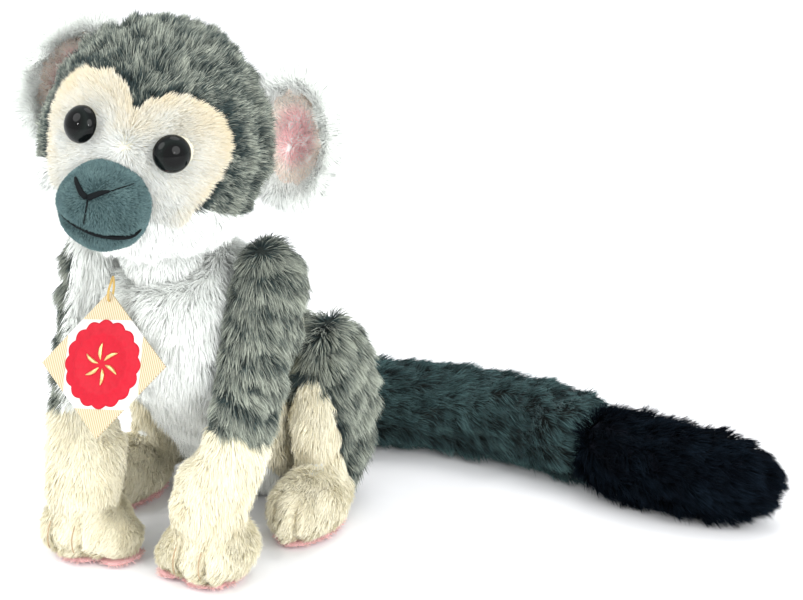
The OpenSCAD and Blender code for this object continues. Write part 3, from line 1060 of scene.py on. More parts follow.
def sew_muzzle():
    short_nap = finish_of("backing_grey", backing_finish((0.06, 0.11, 0.115), (0.03, 0.055, 0.06), size=1.4))
    snout = ball_mesh("muzzle_skin", short_nap)
    set_points(snout.data, from_head(muzzle_surface(points_of(snout.data))))
    stuffed(snout, "head", "grey_plush", 0.9, "muzzle_stuffing")

    def tone(roots, out, draw):
        return 0.42 + Ripple(31, 6.0)(roots) * 0.15 + draw.normal(size=len(roots)) * 0.22

    sew_pile(
        "muzzle_pile", snout, "head", "grey_plush", ["muzzle"],
        steady(1.5), in_head_frame(lambda p: p - np.array([-2.0, -55, -11])), tone,
        keep=lambda r, n: to_head(r)[:, 1] < -25,
        per_mm2=14.0, lift=0.9, ruffle=0.4, clump=0.3, clump_size=1.4, droop=0.0, width=0.75, seed=7,
    )
    thread = finish_of("dark_thread", thread_finish((0.004, 0.006, 0.007)))
    nose_lines = {
        "nose_a": ([(-9.2, -10.4), (-7.4, -11.7), (-5.0, -13.4), (-2.8, -14.3)], [0.5, 0.8, 1.0, 1.1], 1.2),
        "nose_b": ([(-2.8, -14.3), (-1.0, -12.9), (0.8, -11.6), (2.6, -10.6)], [1.1, 1.0, 0.8, 0.4], 1.2),
        "nose_c": ([(2.6, -10.6), (5.2, -8.8), (7.6, -7.4)], 0.22, 0.8),
        "philtrum": ([(-2.8, -14.3), (-2.8, -17.0), (-2.7, -20.0), (-2.5, -23.0)], 0.28, 0.9),
    }
    lines = [sewn_line(name, *how, thread) for name, how in nose_lines.items()]
    belongs(joined("nose_stitching", lines), "head", "dark_thread", "nose_stitch")
    smile = [(-11.6, -23.4), (-7.4, -24.4), (-3.0, -25.0), (2.2, -25.4)]
    smile += [(8.2, -24.7), (11.6, -23.2), (13.2, -20.6)]
    mouth = sewn_line("mouth_stitching", smile, [0.35, 0.5, 0.6, 0.7, 0.75, 0.7, 0.4], 1.0, thread)
    belongs(mouth, "head", "dark_thread", "mouth_stitch")


def eye_glass(dye):
    """Deep black glass with a slightly lighter ring around a black middle."""
    across, _ = dye.strand()
    fleck = dye.noise(0.8)
    iris = dye.ramp(
        across,
        [
            (0.0, (0.002, 0.002, 0.002)),
            (0.52, (0.003, 0.003, 0.003)),
            (0.64, (0.004, 0.006, 0.005)),
            (0.78, (0.008, 0.011, 0.010)),
            (0.90, (0.003, 0.004, 0.004)),
            (1.0, (0.002, 0.002, 0.002)),
        ],
    )
    colour = dye.mix((fleck * 0.35).clamped(), iris, (0.004, 0.005, 0.005))
    return dye.finish(colour, 0.03, Specular_IOR_Level=0.15)


def set_eyes():
    """The domed eyes, each a turned shape with a rolled rim, on its shank."""
    dome = [(EYE_RADIUS * math.cos(a), 1.5 + EYE_RISE * math.sin(a)) for a in np.linspace(1.568, 0, 33)]
    rings = dome + [(EYE_RADIUS - 0.1, 1.2), (5.8, 0.9), (2.0, 0.8), (2.0, -8.0), (0.01, -8.0)]
    around = 48
    angles = np.arange(around) * 2 * math.pi / around
    points = np.array([[r * math.cos(a), r * math.sin(a), h] for r, h in rings for a in angles])
    faces = [f[::-1] for f in grid_faces(len(rings), around, closed=True)]
    for side, sign in SIDES.items():
        turn = np.array(turned(sign * EYE_OUT, "Z") @ turned(-7, "X") @ turned(90, "X"))
        local = points @ turn.T + EYE_AT * [sign, 1, 1]
        eye = new_piece("eye_dome_" + side, from_head(local), faces, finish_of("eye_glass", eye_glass))
        where = eye.data.uv_layers.new(name="OFBake")
        corner = np.array([loop.vertex_index for loop in eye.data.loops])
        reach = np.array([r for r, _ in rings])[corner // around] / EYE_RADIUS
        spoke = (corner % around) / around
        where.data.foreach_set("uv", np.stack([np.clip(reach, 0, 1), spoke], axis=1).ravel())
        belongs(eye, "head", "eye_gloss", "eye_" + side)


# ---------------------------------------------------------------- ears


def ear_points(sign, u, v):
    """A cupped ear in the head's own frame: u goes around it, v from its middle, 0, over its rim, 1, to 2."""
    reach = np.where(v <= 1, v, 2 - v)
    squash = 1 - 0.10 * np.sin(u) * (np.sin(u) < 0)
    x = np.cos(u) * EAR_WIDE * reach * squash
    z = np.sin(u) * EAR_TALL * reach
    rolled_rim = np.sqrt(np.maximum(0, 1 - ((reach - 0.8) / 0.2) ** 2) * (reach > 0.6))
    front = 4.4 * smooth_step(1.0, 0.1, reach) - 4.6 * smooth_step(0.55, 1.0, reach) * rolled_rim
    back = 5.6 * np.sqrt(np.maximum(0, 1 - reach**2))
    y = np.where(v <= 1, front, back)
    lean = math.radians(EAR_LEAN)
    turned_x = x * math.cos(lean) - z * math.sin(lean)
    turned_z = x * math.sin(lean) + z * math.cos(lean)
    points = np.stack([turned_x, y, turned_z], axis=1) + EAR_AT[sign] - [1.0, 0, 0]
    return points * [sign, 1, 1]


def sew_ear(side, sign):
    around, rows = 72, 33
    u, v = np.meshgrid(np.arange(around) * 2 * math.pi / around, np.linspace(0.03, 1.97, rows))
    points = ear_points(sign, u.ravel(), v.ravel())
    faces = grid_faces(rows, around, closed=True)
    faces.append(list(range(around))[::-1])
    faces.append([(rows - 1) * around + k for k in range(around)])
    if sign < 0:
        faces = [f[::-1] for f in faces]
    ear = new_piece("ear_skin_" + side, from_head(points), faces, backing("white"))
    smoother = ear.modifiers.new("Smooth", "SMOOTH")
    smoother.iterations = 4
    applied(ear)
    ear.data.shade_smooth()
    face_out(ear)
    body = "ear_" + side
    stuffed(ear, body, "white_plush", 0.4)
    lean = math.radians(EAR_LEAN)

    def inside(roots):
        """How far a root is from the ear's middle: 1 at the rim."""
        local = to_head(roots) * [sign, 1, 1] - EAR_AT[sign] + [1.0, 0, 0]
        x = local[:, 0] * math.cos(lean) + local[:, 2] * math.sin(lean)
        z = -local[:, 0] * math.sin(lean) + local[:, 2] * math.cos(lean)
        return np.hypot(x / EAR_WIDE, z / EAR_TALL)

    def lined(roots, out):
        stray = Ripple(44, 3.0)(roots) * 0.05
        return (inside(roots) + stray < 0.66) & ((out @ HEAD_TURNED)[:, 1] < 0.0)

    def outwards(roots, out):
        local = to_head(roots) - EAR_AT[sign] * [sign, 1, 1]
        return (local * [1.6, 0.2, 1.0] + [sign * 3.0, 0, 5.0]) @ HEAD_TURNED.T

    def free_of_head(roots):
        return np.linalg.norm(to_head(roots) / (HEAD_RADII - 4), axis=1) > 1

    def lining_tone(roots, out, draw):
        return 0.05 + smooth_step(0.22, 0.56, inside(roots)) * 0.85 + draw.normal(size=len(roots)) * 0.12

    sew_pile(
        "ear_lining_pile_" + side, ear, body, "pink_plush", ["ear_lining_" + side],
        steady(2.6), outwards, lining_tone, keep=lambda r, n: lined(r, n) & free_of_head(r),
        per_mm2=9.0, lift=0.9, clump=0.35, clump_size=1.8, droop=0.0, width=0.8, seed=40 + (sign > 0),
    )
    sew_pile(
        "ear_rim_pile_" + side, ear, body, "white_plush", ["ear_back_" + side],
        lambda r, n: 4.2 + 2.6 * smooth_step(0.6, 1.0, inside(r)), outwards, mixed_tone(0.06, 0.3, 45),
        keep=lambda r, n: ~lined(r, n) & free_of_head(r),
        per_mm2=8.0, ruffle=0.42, clump=0.25, clump_size=1.8, droop=0.03, width=0.75, seed=42 + (sign > 0),
    )


def face_out(piece):
    """Makes every face of a closed piece look outwards."""
    shape = bmesh.new()
    shape.from_mesh(piece.data)
    bmesh.ops.recalc_face_normals(shape, faces=shape.faces)
    shape.to_mesh(piece.data)
    shape.free()


# ---------------------------------------------------------------- trunk


def trunk_zone(roots):
    """0 for the grizzled back, 1 for the white bib and 2 for the cream flanks."""
    stray = Ripple(81, 7.0)(roots) * 1.5
    x, y, z = roots.T
    collar = smooth_step(84, 108, z) * 26 * (np.abs(x) < 30)
    bib = (y < -46 + stray + collar) | ((y < stray) & (z < 56))
    flank = (np.abs(x) > 16) & (y > -46) & (y < 33) & (z < 84 + stray) & ~(z > 60 + 0.5 * (y + 46))
    return np.where(flank, 2, np.where(bib, 1, 0))


def paint_zones(skin, zone_of):
    """Gives the sewn panels of a backing their own colours."""
    skin.data.materials.clear()
    for kind in ("grizzled", "white", "cream"):
        skin.data.materials.append(backing(kind))
    colour_faces(skin, zone_of)


def sew_trunk():
    skin = stuffed_skin("trunk_skin", "body_stuffing", backing("grizzled"), swell=1.2, voxel=4.0)
    paint_zones(skin, trunk_zone)
    stuffed(skin, "trunk", "stuffing", 0.8, "body_stuffing", "seat_panel")
    long_pile = pile_length("long_pile")
    sew_pile(
        "back_pile", skin, "trunk", "grizzled_plush", ["back_fur"],
        steady(long_pile), towards(0, 0.35, -1), mixed_tone(0.62, 0.5, 82),
        keep=lambda r, n: (trunk_zone(r) == 0) & (r[:, 2] > 3),
        per_mm2=5.0, lift=0.55, ruffle=0.4, clump_size=2.5, seed=51,
    )
    sew_pile(
        "bib_pile", skin, "trunk", "white_plush", ["chest_bib"],
        steady(long_pile), towards(0, -0.2, -1), mixed_tone(0.08, 0.3, 83),
        keep=lambda r, n: (trunk_zone(r) == 1) & (r[:, 2] > 2),
        per_mm2=5.4, ruffle=0.34, clump=0.3, clump_size=2.4, seed=52,
    )
    sew_pile(
        "flank_pile", skin, "trunk", "cream_plush", ["flank_panel_left", "flank_panel_right"],
        steady(4.0), towards(0, -0.2, -1), mixed_tone(0.1, 0.3, 84),
        keep=lambda r, n: (trunk_zone(r) == 2) & (r[:, 2] > 2), per_mm2=2.6, lift=0.6, seed=53,
    )


# ---------------------------------------------------------------- arms and legs


def finger_parting(points, sign):
    """How deep the sewn channels between the fingers press in, in millimetres."""
    local = points * [sign, 1, 1] - HAND_AT
    near = smooth_step(-6, -14, local[:, 1])
    low = smooth_step(14, 4, local[:, 2])
    return sum(np.exp(-((local[:, 0] - at) / 1.6) ** 2) for at in (-5, 5)) * near * low


def sew_pad(name, body, seed):
    """The soft pink underside of a hand or a foot, with its edge rolled and brushed."""
    pink = colours().pink
    material = finish_of("blush_cloth", backing_finish(pink, tinted(pink, 0.85), size=1.1))
    pad = stuffed_skin(name + "_cloth", name, material, swell=0.0, voxel=1.2, rounds=3, cap=0.1)
    points = points_of(pad.data)
    points[:, 2] = np.clip(points[:, 2], 0.25, 4.0)
    set_points(pad.data, points)
    belongs(pad, body, "pink_fabric", name)
    sew_pile(
        name + "_nap", pad, body, "pink_fabric", [],
        steady(2.0), lambda r, n: n * [1, 1, 0] + [0, 0, 0.4], mixed_tone(0.25, 0.3, seed),
        keep=lambda r, n: (n[:, 2] < 0.9) & (n[:, 2] > -0.5) & (r[:, 2] > 0.9),
        per_mm2=8.0, lift=0.6, ruffle=0.3, clump=0.3, clump_size=2.0, droop=0.0, width=0.8, seed=seed,
    )


def slimmed(points, sign):
    """The arm drawn in a little above the wrist, with its inner side sloping up from there."""
    x, y, z = (points * [sign, 1, 1]).T
    middle_x = np.interp(z, [30, 58, 99], [25, 30, 34])
    middle_y = np.interp(z, [30, 58, 99], [-77, -65, -48])
    draw_in = 0.10 * smooth_step(40, 62, z)
    x = middle_x + (x - middle_x) * (1 - draw_in)
    y = middle_y + (y - middle_y) * (1 - 1.2 * draw_in)
    x = np.maximum(x, np.interp(z, [20, 30, 50], [0, 10.5, 20.5]))
    return np.stack([x * sign, y, z], axis=1)


def sew_arm(side, sign):
    body = "arm_" + side
    skin = stuffed_skin(body + "_skin", "arm_stuffing_" + side, backing("grizzled"), swell=1.3)
    points, out = points_of(skin.data), normals_of(skin.data)
    points = slimmed(points, sign)
    set_points(skin.data, points - out * finger_parting(points, sign)[:, None] * 2.2)

    def hem(roots):
        """Positive on the sleeve, negative on the pale forearm, whose edge climbs at the back."""
        drop = (roots[:, 1] + 66) * 0.35 + (roots[:, 0] * sign - 30) * 0.15
        return roots[:, 2] - HEM_Z + 1 + Ripple(90, 8.0)(roots) * 0.8 + drop

    def zone(roots):
        """0 for the grizzled sleeve, 1 for its white inner side and 2 for the pale forearm."""
        white_to = (19.5 if sign > 0 else 32.0) + (roots[:, 2] - 58) * 0.11 + Ripple(92, 8.0)(roots) * 0.8
        white_side = (roots[:, 0] * sign < white_to) & (roots[:, 1] < -46)
        return np.where(hem(roots) > 0, np.where(white_side, 1, 0), 2)

    paint_zones(skin, zone)
    stuffed(skin, body, "stuffing", 0.85, "arm_stuffing_" + side)
    long_pile, cream_pile = pile_length("long_pile"), pile_length("cream_pile")

    def forearm_tone(roots, out, draw):
        # painted shade: strands turn darker and warmer in the channels between the fingers and towards the
        # floor
        parting = np.clip(finger_parting(roots, sign), 0, 1)
        wrist = np.exp(-((roots[:, 2] - 30) / 9) ** 2) * 0.16
        edge = smooth_step(10, 2, roots[:, 2]) * 0.25
        patch = Ripple(93, 9.0)(roots) * 0.10
        return 0.10 + parting * 0.35 + wrist + edge + patch + draw.normal(size=len(roots)) * 0.10

    def forearm_flow(roots, out):
        hand = smooth_step(32, 16, roots[:, 2])[:, None]
        return np.array([0.0, -0.15, -1.0]) * (1 - hand) + np.array([0.1 * sign, -1.0, -0.55]) * hand

    def forearm_length(roots, out):
        slim = smooth_step(60, 20, roots[:, 2])
        parting = np.clip(finger_parting(roots, sign), 0, 1)
        whole = 6.5 * (1 - slim) + cream_pile * slim
        return whole * (1 - 0.45 * parting) * (1 - 0.35 * inner_side(roots, sign))

    sew_pile(
        "sleeve_pile_" + side, skin, body, "grizzled_plush", ["sleeve_" + side],
        lambda r, n: long_pile * (0.86 - 0.45 * inner_side(r, sign)),
        towards(0.15 * sign, 0.30, -1), mixed_tone(0.58, 0.42, 91, size=9.0), keep=lambda r, n: zone(r) == 0,
        per_mm2=5.6, lift=0.42, ruffle=0.36, clump_size=2.3, width=0.85, seed=60 + (sign > 0),
    )
    sew_pile(
        "sleeve_inner_pile_" + side, skin, body, "white_plush", [],
        lambda r, n: long_pile * (1 - 0.4 * inner_side(r, sign)),
        towards(0, -0.1, -1), mixed_tone(0.06, 0.3, 91), keep=lambda r, n: zone(r) == 1,
        per_mm2=4.6, lift=0.5, ruffle=0.36, clump=0.4, clump_size=2.6, seed=78 + (sign > 0),
    )
    sew_pile(
        "forearm_pile_" + side, skin, body, "cream_plush", ["forearm_" + side],
        forearm_length, forearm_flow, forearm_tone,
        keep=lambda r, n: (zone(r) == 2) & (r[:, 2] > 3.2), seed=62 + (sign > 0), **CLOSE_PILE,
    )
    sew_pad("palm_" + side, body, 64 + (sign > 0))
    thread = finish_of("pale_thread", thread_finish((0.50, 0.36, 0.22)))
    angles = np.radians(30 - 50 * np.linspace(0, 1, 6))
    stitches = []
    for at in (-5, 5):
        out_and_up = [(0.3 - 19.3 * math.cos(a), 12.0 * math.sin(a)) for a in angles]
        path = [[sign * (HAND_AT[0] + at), HAND_AT[1] + out, HAND_AT[2] + up] for out, up in out_and_up]
        stitches.append(round_tube("stitch", path, 0.26, thread, sides=6, per_span=3, twist=0.4))
    belongs(joined("finger_stitching_" + side, stitches), body, "pale_thread", "finger_stitches_" + side)


def toe_parting(points, sign):
    """How deep the channels between the toes press in, from 0 to 1."""
    local = points * [sign, 1, 1] - FOOT_AT
    near = smooth_step(-8, -17, local[:, 1]) * smooth_step(12, 3, local[:, 2])
    return sum(np.exp(-((local[:, 0] - at) / 1.5) ** 2) for at in (-4, 4)) * near


def leg_zone(roots):
    """0 for the grizzled haunch, 1 for the pale shin panel and 2 for the foot."""
    stray = Ripple(94, 6.0)(roots) * 1.2
    seam = -14 - (roots[:, 2] - 40) * 0.25
    foot = (roots[:, 2] < 20 - (roots[:, 1] + 22) * 0.45) & (roots[:, 1] < 4 + stray) & (roots[:, 2] < 24)
    shin = (roots[:, 1] < seam + stray) & ~foot
    return np.where(foot, 2, np.where(shin, 1, 0))


def sew_leg(side, sign):
    body = "leg_" + side
    skin = stuffed_skin(body + "_skin", "leg_stuffing_" + side, backing("grizzled"), swell=1.8, rounds=16)
    points, out = points_of(skin.data), normals_of(skin.data)
    set_points(skin.data, points - out * toe_parting(points, sign)[:, None] * 2.2)
    paint_zones(skin, leg_zone)
    stuffed(skin, body, "stuffing", 0.85, "leg_stuffing_" + side)
    long_pile, cream_pile = pile_length("long_pile"), pile_length("cream_pile")

    def haunch_tone(roots, out, draw):
        # painted shade: strands are made darker along the shin's seam and along the edge of the foot
        seam = np.exp(-((roots[:, 1] + 14 + (roots[:, 2] - 40) * 0.25) / 4.0) ** 2) * 0.35
        foot_edge_shade = np.exp(-((roots[:, 2] - 20) / 6.0) ** 2) * 0.2
        stripes = Ripple(95, 8.0)(roots) * 0.28
        return 0.72 - seam - foot_edge_shade + stripes + draw.normal(size=len(roots)) * 0.26

    def foot_tone(roots, out, draw):
        # painted shade: strands turn darker and warmer in the channels between the toes and towards the floor
        parting = np.clip(toe_parting(roots, sign), 0, 1) * 0.5
        edge = smooth_step(9, 2, roots[:, 2]) * 0.25
        return 0.14 + parting + edge + draw.normal(size=len(roots)) * 0.12

    def foot_length(roots, out):
        parting = np.clip(toe_parting(roots, sign), 0, 1)
        return cream_pile * (1 - 0.45 * parting) * (1 - 0.35 * inner_side(roots, sign))

    sew_pile(
        "haunch_pile_" + side, skin, body, "grizzled_plush", ["thigh_fur_" + side],
        lambda r, n: long_pile * (1 - 0.5 * inner_side(r, sign)), towards(0, 0.30, -1), haunch_tone,
        keep=lambda r, n: (leg_zone(r) == 0) & (r[:, 2] > 2.4),
        per_mm2=5.4, lift=0.5, ruffle=0.38, clump_size=2.4, width=0.9, seed=66 + (sign > 0),
    )
    sew_pile(
        "shin_pile_" + side, skin, body, "cream_plush", ["shin_panel_" + side],
        lambda r, n: cream_pile * 1.2 * (1 - 0.4 * inner_side(r, sign)),
        towards(0, -0.3, -1), mixed_tone(0.15, 0.3, 96),
        keep=lambda r, n: (leg_zone(r) == 1) & (r[:, 2] > 2.4),
        per_mm2=7.5, lift=0.5, ruffle=0.30, clump=0.25, clump_size=1.8, width=0.85, seed=68 + (sign > 0),
    )
    sew_pile(
        "foot_pile_" + side, skin, body, "cream_plush", ["foot_" + side],
        foot_length, towards(0, -1, -0.5), foot_tone,
        keep=lambda r, n: (leg_zone(r) == 2) & (r[:, 2] > 3.2), seed=70 + (sign > 0), **CLOSE_PILE,
    )
    sew_pad("sole_" + side, body, 72 + (sign > 0))


# ---------------------------------------------------------------- tail


def along_route(route):
    """A combing direction along a tail piece."""
    line = smooth_path(np.array([[x, y, TAIL_MIDDLE_Z] for x, y in route]), 8)
    ahead = unit(np.gradient(line, axis=0))

    def flow(roots, out):
        nearest = np.argmin(((roots[:, None, :2] - line[None, :, :2]) ** 2).sum(axis=2), axis=1)
        return ahead[nearest]

    return flow


def sew_tail_length(name, body, material, slot, route, share, ripple, seed):
    """One stuffed length of the tail with its pile."""
    skin = stuffed_skin(name + "_skin", name + "_stuffing", material, swell=1.3, voxel=3.5)
    stuffed(skin, body, "stuffing", 0.85, name + "_stuffing")
    sew_pile(
        name + "_pile", skin, body, slot, [name + "_fur"],
        steady(pile_length("long_pile")), along_route(route), mixed_tone(share, 0.5, ripple),
        keep=lambda r, n: r[:, 2] > 2.2, per_mm2=4.4, lift=0.75, ruffle=0.45, clump=0.55, seed=seed,
    )


def sew_tail():
    sew_tail_length("tail", "tail", backing("grizzled"), "tail_plush", TAIL_ROUTE, 0.50, 97, 74)
    sew_tail_length("tail_tip", "tail_tip", backing("black"), "black_plush", TIP_ROUTE, 0.40, 98, 75)


# ---------------------------------------------------------------- hang tag


def card_stock(dye):
    """Printed card, cream with a pale field and thin gold lines along its edges."""
    across, up = dye.strand()
    out = (from_middle(across) + from_middle(up)) * 0.5
    pale, gold, field = (0.72, 0.71, 0.70), (0.34, 0.24, 0.10), (0.70, 0.62, 0.46)
    wave = {"Vector": dye.place(1.0), "Scale": 0.42}
    lines = dye.add("ShaderNodeTexWave", {"bands_direction": "X"}, wave)
    edge = dye.ramp(out, [(0.0, (0, 0, 0)), (0.60, (0, 0, 0)), (0.61, (1, 1, 1)), (1.0, (1, 1, 1))])
    ruled = dye.mix(lines, field, gold)
    fibres = dye.noise(0.6)
    printed = dye.mix(edge, pale, ruled)
    colour = dye.mix((fibres * 0.2).clamped(), printed, (0.62, 0.56, 0.44))
    return dye.finish(colour, 0.6, dye.bump(fibres, 0.15, 0.1), Specular_IOR_Level=0.2)


def from_middle(value):
    """How far a value from 0 to 1 is from one half: 1 at either end."""
    return value.math("ABSOLUTE", value * 2.0 - 1.0)


def sealing_red(dye):
    cloud = dye.noise(5.0)
    base = dye.mix(cloud, colours().seal, tinted(colours().seal, 1.25, (0.02, 0.0, 0.005)))
    fine = dye.noise(0.5)
    return dye.finish(base, 0.5, dye.bump(fine, 0.2, 0.1), Specular_IOR_Level=0.2)


def gilt(dye):
    rub = dye.noise(1.2)
    base = dye.mix(rub, (0.55, 0.36, 0.12), (0.86, 0.66, 0.32))
    return dye.finish(base, 0.32, Metallic=0.85)


def sew_tag():
    """The square card that hangs by one corner, its scalloped seal and its thread."""
    cut_card()
    seal_piece()
    gold = finish_of("gold_thread", thread_finish((0.62, 0.43, 0.15), pitch=0.8))
    top = CARD_SIDE * 0.62
    loop = [
        [0, top, -0.6],
        [0.3, top, 1.6],
        [0.6, top + 2.6, 2.4],
        [0.9, top + 5.6, 1.9],
        [0.5, top + 8.2, 0.3],
        [0, top + 5.4, -1.4],
        [-0.2, top + 2.2, -1.6],
        [0, top, -0.6],
    ]
    thread = round_tube("tag_cord", from_tag(loop), 0.42, gold, sides=8, per_span=8, twist=0.3)
    belongs(thread, "tag", "gold_thread", "tag_thread")


def cut_card():
    """The flat printed card, standing on one corner."""
    steps = 24
    half = CARD_SIDE / 2
    u, v = np.meshgrid(*[np.linspace(-half, half, steps + 1)] * 2)
    turn = math.radians(45)
    x, y = u * math.cos(turn) - v * math.sin(turn), u * math.sin(turn) + v * math.cos(turn)
    front = np.stack([x, y, np.full_like(x, CARD_THICK)], axis=2).reshape(-1, 3)
    back = front - [0, 0, CARD_THICK]
    count = (steps + 1) ** 2
    faces = grid_faces(steps + 1, steps + 1)
    rear = [[count + i for i in f[::-1]] for f in faces]
    edge = list(range(steps)) + [steps + (steps + 1) * i for i in range(steps)]
    edge += [count - 1 - i for i in range(steps)] + [(steps + 1) * (steps - i) for i in range(steps)]
    walls = [[a, count + a, count + b, b] for a, b in zip(edge, edge[1:] + edge[:1])]
    card = new_piece(
        "tag_card_print", from_tag(np.vstack([front, back])), faces + rear + walls,
        finish_of("card_stock", card_stock), smooth=False,
    )
    where = card.data.uv_layers.new(name="OFBake")
    share = np.stack([u.ravel() + half, v.ravel() + half], axis=1) / CARD_SIDE
    index = np.array([loop.vertex_index % count for loop in card.data.loops])
    where.data.foreach_set("uv", share[index].ravel())
    belongs(card, "tag", "card", "tag_card")


def seal_piece():
    """A plain round seal: scalloped rim, a raised ring, and a small embossed leaf spray."""
    around, lobes = 192, 16
    angles = np.arange(around) * 2 * math.pi / around
    rim = SEAL_ACROSS / 2 - 0.55 + 0.55 * np.abs(np.cos(angles * lobes / 2)) * 2 - 0.55
    rounds = np.stack([np.cos(angles) * rim, np.sin(angles) * rim], axis=1)
    points = np.vstack(
        [np.column_stack([rounds * share, np.full(around, CARD_THICK + rise)]) for share, rise in SEAL_LEVELS]
    )
    faces = grid_faces(len(SEAL_LEVELS), around, closed=True)
    faces.append(list(range(around))[::-1])
    red = finish_of("sealing_red", sealing_red)
    seal = new_piece("tag_seal", from_tag(points), [f[::-1] for f in faces], red)
    face_out(seal)
    belongs(seal, "tag", "seal_print", "tag_emblem")
    gold = finish_of("gilt", gilt)
    leaves = []
    for k in range(6):
        turn = math.radians(60 * k + 90)
        axis = np.array([math.cos(turn), math.sin(turn), 0])
        across = np.array([-axis[1], axis[0], 0])
        lift = np.array([0, 0, CARD_THICK + 0.8])
        path = [axis * d + across * 0.9 * math.sin(d / 8.2 * math.pi) + lift for d in (1.4, 3.4, 5.4, 7.4)]
        leaves.append(round_tube("leaf", from_tag(path), [0.15, 0.75, 0.7, 0.15], gold, per_span=4))
    belongs(joined("tag_seal_leaves", leaves), "tag", "seal_print")


# ---------------------------------------------------------------- inner parts


def plain_fill(dye):
    tufts = dye.noise(3.0)
    return dye.finish(dye.mix(tufts, (0.80, 0.80, 0.78), (0.92, 0.92, 0.90)), 0.95, dye.bump(tufts, 0.5, 0.5))


def pellet_cotton(dye):
    weave = dye.noise(0.9)
    return dye.finish(dye.mix(weave, (0.52, 0.44, 0.30), (0.66, 0.57, 0.40)), 0.9, dye.bump(weave, 0.5, 0.3))


def moulded_white(dye):
    grain = dye.noise(0.5)
    return dye.finish((0.82, 0.82, 0.80), 0.4, dye.bump(grain, 0.1, 0.05))


def finish_inner_parts():
    for node, name, make in (
        ("eye_washers", "moulded_white", moulded_white),
        ("pellet_bag", "pellet_cotton", pellet_cotton),
    ):
        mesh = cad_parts[node].data
        mesh.materials.clear()
        mesh.materials.append(finish_of(name, make))


# ---------------------------------------------------------------- floor, light and camera


def floor_finish(dye):
    cloud = dye.noise(60.0)
    return dye.finish(dye.mix(cloud, (0.88, 0.88, 0.89), (0.92, 0.92, 0.93)), 0.75)


def lay_floor():
    corners = np.array([[-1, -1, 0], [1, -1, 0], [1, 1, 0], [-1, 1, 0]]) * FLOOR_REACH / MM
    floor = new_piece("floor", corners, [[0, 1, 2, 3]], finish_of("floor_finish", floor_finish), smooth=False)
    floor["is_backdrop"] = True


def hang_light(name, place, across, power):
    light = bpy.data.lights.new(name, "AREA")
    light.shape = "DISK"
    light.size = across
    light.energy = power
    lamp = placed(name, light)
    lamp.location = place
    lamp.rotation_euler = (Vector(LIT_POINT) - Vector(place)).to_track_quat("-Z", "Y").to_euler()


def light_up():
    world = bpy.data.worlds.new("soft_room")
    bpy.context.scene.world = world
    world.use_nodes = True
    room = world.node_tree.nodes["Background"].inputs
    room["Color"].default_value = (0.96, 0.98, 1.0, 1.0)
    room["Strength"].default_value = ROOM_LIGHT
    for name, (place, across, power) in LAMPS.items():
        hang_light(name, place, across, power)


def set_camera():
    view = bpy.data.cameras.new("view")
    view.sensor_width = 36.0
    view.lens = CAMERA_LENS
    camera = placed("view", view)
    camera.location = Vector(CAMERA_AT) * MM
    target = Vector(CAMERA_TARGET) * MM
    camera.rotation_euler = (target - camera.location).to_track_quat("-Z", "Y").to_euler()
    bpy.context.scene.camera = camera
    bpy.context.scene.view_settings.view_transform = "Standard"


# ---------------------------------------------------------------- operators


class PlushOperator:
    """What the operators share: one sewing job each."""

    bl_options = {"REGISTER", "UNDO"}

    def execute(self, context):
        self.sew()
        return {"FINISHED"}


class MONKEY_OT_stage(PlushOperator, bpy.types.Operator):
    """Lays the floor, hangs the lights and sets the camera"""

    bl_idname = "monkey.stage"
    bl_label = "Set the stage"

    def sew(self):
        set_camera()
        light_up()
        lay_floor()


class MONKEY_OT_head(PlushOperator, bpy.types.Operator):
    """Sews the head with its cap, face and ruff, and the neck under it"""

    bl_idname = "monkey.head"
    bl_label = "Sew the head"

    def sew(self):
        sew_head()
        sew_neck()


class MONKEY_OT_face(PlushOperator, bpy.types.Operator):
    """Sews the muzzle with its stitched nose and mouth, and sets the eyes"""

    bl_idname = "monkey.face"
    bl_label = "Sew the face"

    def sew(self):
        sew_muzzle()
        set_eyes()


class MONKEY_OT_ears(PlushOperator, bpy.types.Operator):
    """Sews both ears"""

    bl_idname = "monkey.ears"
    bl_label = "Sew the ears"

    def sew(self):
        for side, sign in SIDES.items():
            sew_ear(side, sign)


class MONKEY_OT_trunk(PlushOperator, bpy.types.Operator):
    """Sews the trunk with its back, bib and flanks"""

    bl_idname = "monkey.trunk"
    bl_label = "Sew the trunk"

    def sew(self):
        sew_trunk()
        finish_inner_parts()


class MONKEY_OT_arms(PlushOperator, bpy.types.Operator):
    """Sews both arms with their hands"""

    bl_idname = "monkey.arms"
    bl_label = "Sew the arms"

    def sew(self):
        for side, sign in SIDES.items():
            sew_arm(side, sign)


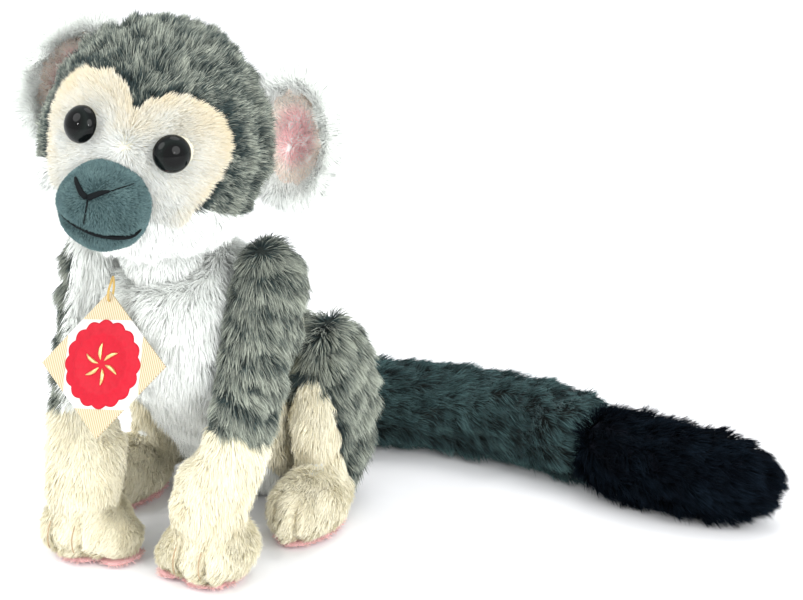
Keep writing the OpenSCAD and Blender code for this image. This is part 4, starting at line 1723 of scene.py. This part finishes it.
class MONKEY_OT_legs(PlushOperator, bpy.types.Operator):
    """Sews both legs with their feet"""

    bl_idname = "monkey.legs"
    bl_label = "Sew the legs"

    def sew(self):
        for side, sign in SIDES.items():
            sew_leg(side, sign)


class MONKEY_OT_tail(PlushOperator, bpy.types.Operator):
    """Sews the tail and its black tip"""

    bl_idname = "monkey.tail"
    bl_label = "Sew the tail"

    def sew(self):
        sew_tail()


class MONKEY_OT_tag(PlushOperator, bpy.types.Operator):
    """Makes the hang tag with its seal and thread"""

    bl_idname = "monkey.tag"
    bl_label = "Make the hang tag"

    def sew(self):
        sew_tag()


JOBS = [
    MONKEY_OT_stage,
    MONKEY_OT_head,
    MONKEY_OT_face,
    MONKEY_OT_ears,
    MONKEY_OT_trunk,
    MONKEY_OT_arms,
    MONKEY_OT_legs,
    MONKEY_OT_tail,
    MONKEY_OT_tag,
]


class MONKEY_PT_panel(bpy.types.Panel):
    """Sizes, colours and jobs of the plush monkey"""

    bl_idname = "MONKEY_PT_panel"
    bl_label = "Plush monkey"
    bl_space_type = "VIEW_3D"
    bl_region_type = "UI"
    bl_category = "Plush monkey"

    def draw(self, context):
        for group in (context.scene.monkey_sizes, context.scene.monkey_colours):
            for key in group.bl_rna.properties.keys():
                if key not in ("rna_type", "name"):
                    self.layout.prop(group, key)
        for job in JOBS:
            self.layout.operator(job.bl_idname)


CLASSES = [CoatSizes, CoatColours, *JOBS, MONKEY_PT_panel]


def register():
    for each in CLASSES:
        bpy.utils.register_class(each)
    bpy.types.Scene.monkey_sizes = PointerProperty(type=CoatSizes)
    bpy.types.Scene.monkey_colours = PointerProperty(type=CoatColours)


def unregister():
    del bpy.types.Scene.monkey_sizes
    del bpy.types.Scene.monkey_colours
    for each in reversed(CLASSES):
        bpy.utils.unregister_class(each)


def main():
    register()
    for job in JOBS:
        group, name = job.bl_idname.split(".")
        getattr(getattr(bpy.ops, group), name)()
    boxes = {"frame": FRAME_BOX, "visual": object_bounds()}
    {key: [list(corner) for corner in box] for key, box in boxes.items()}


if __name__ == "__main__":
    main()
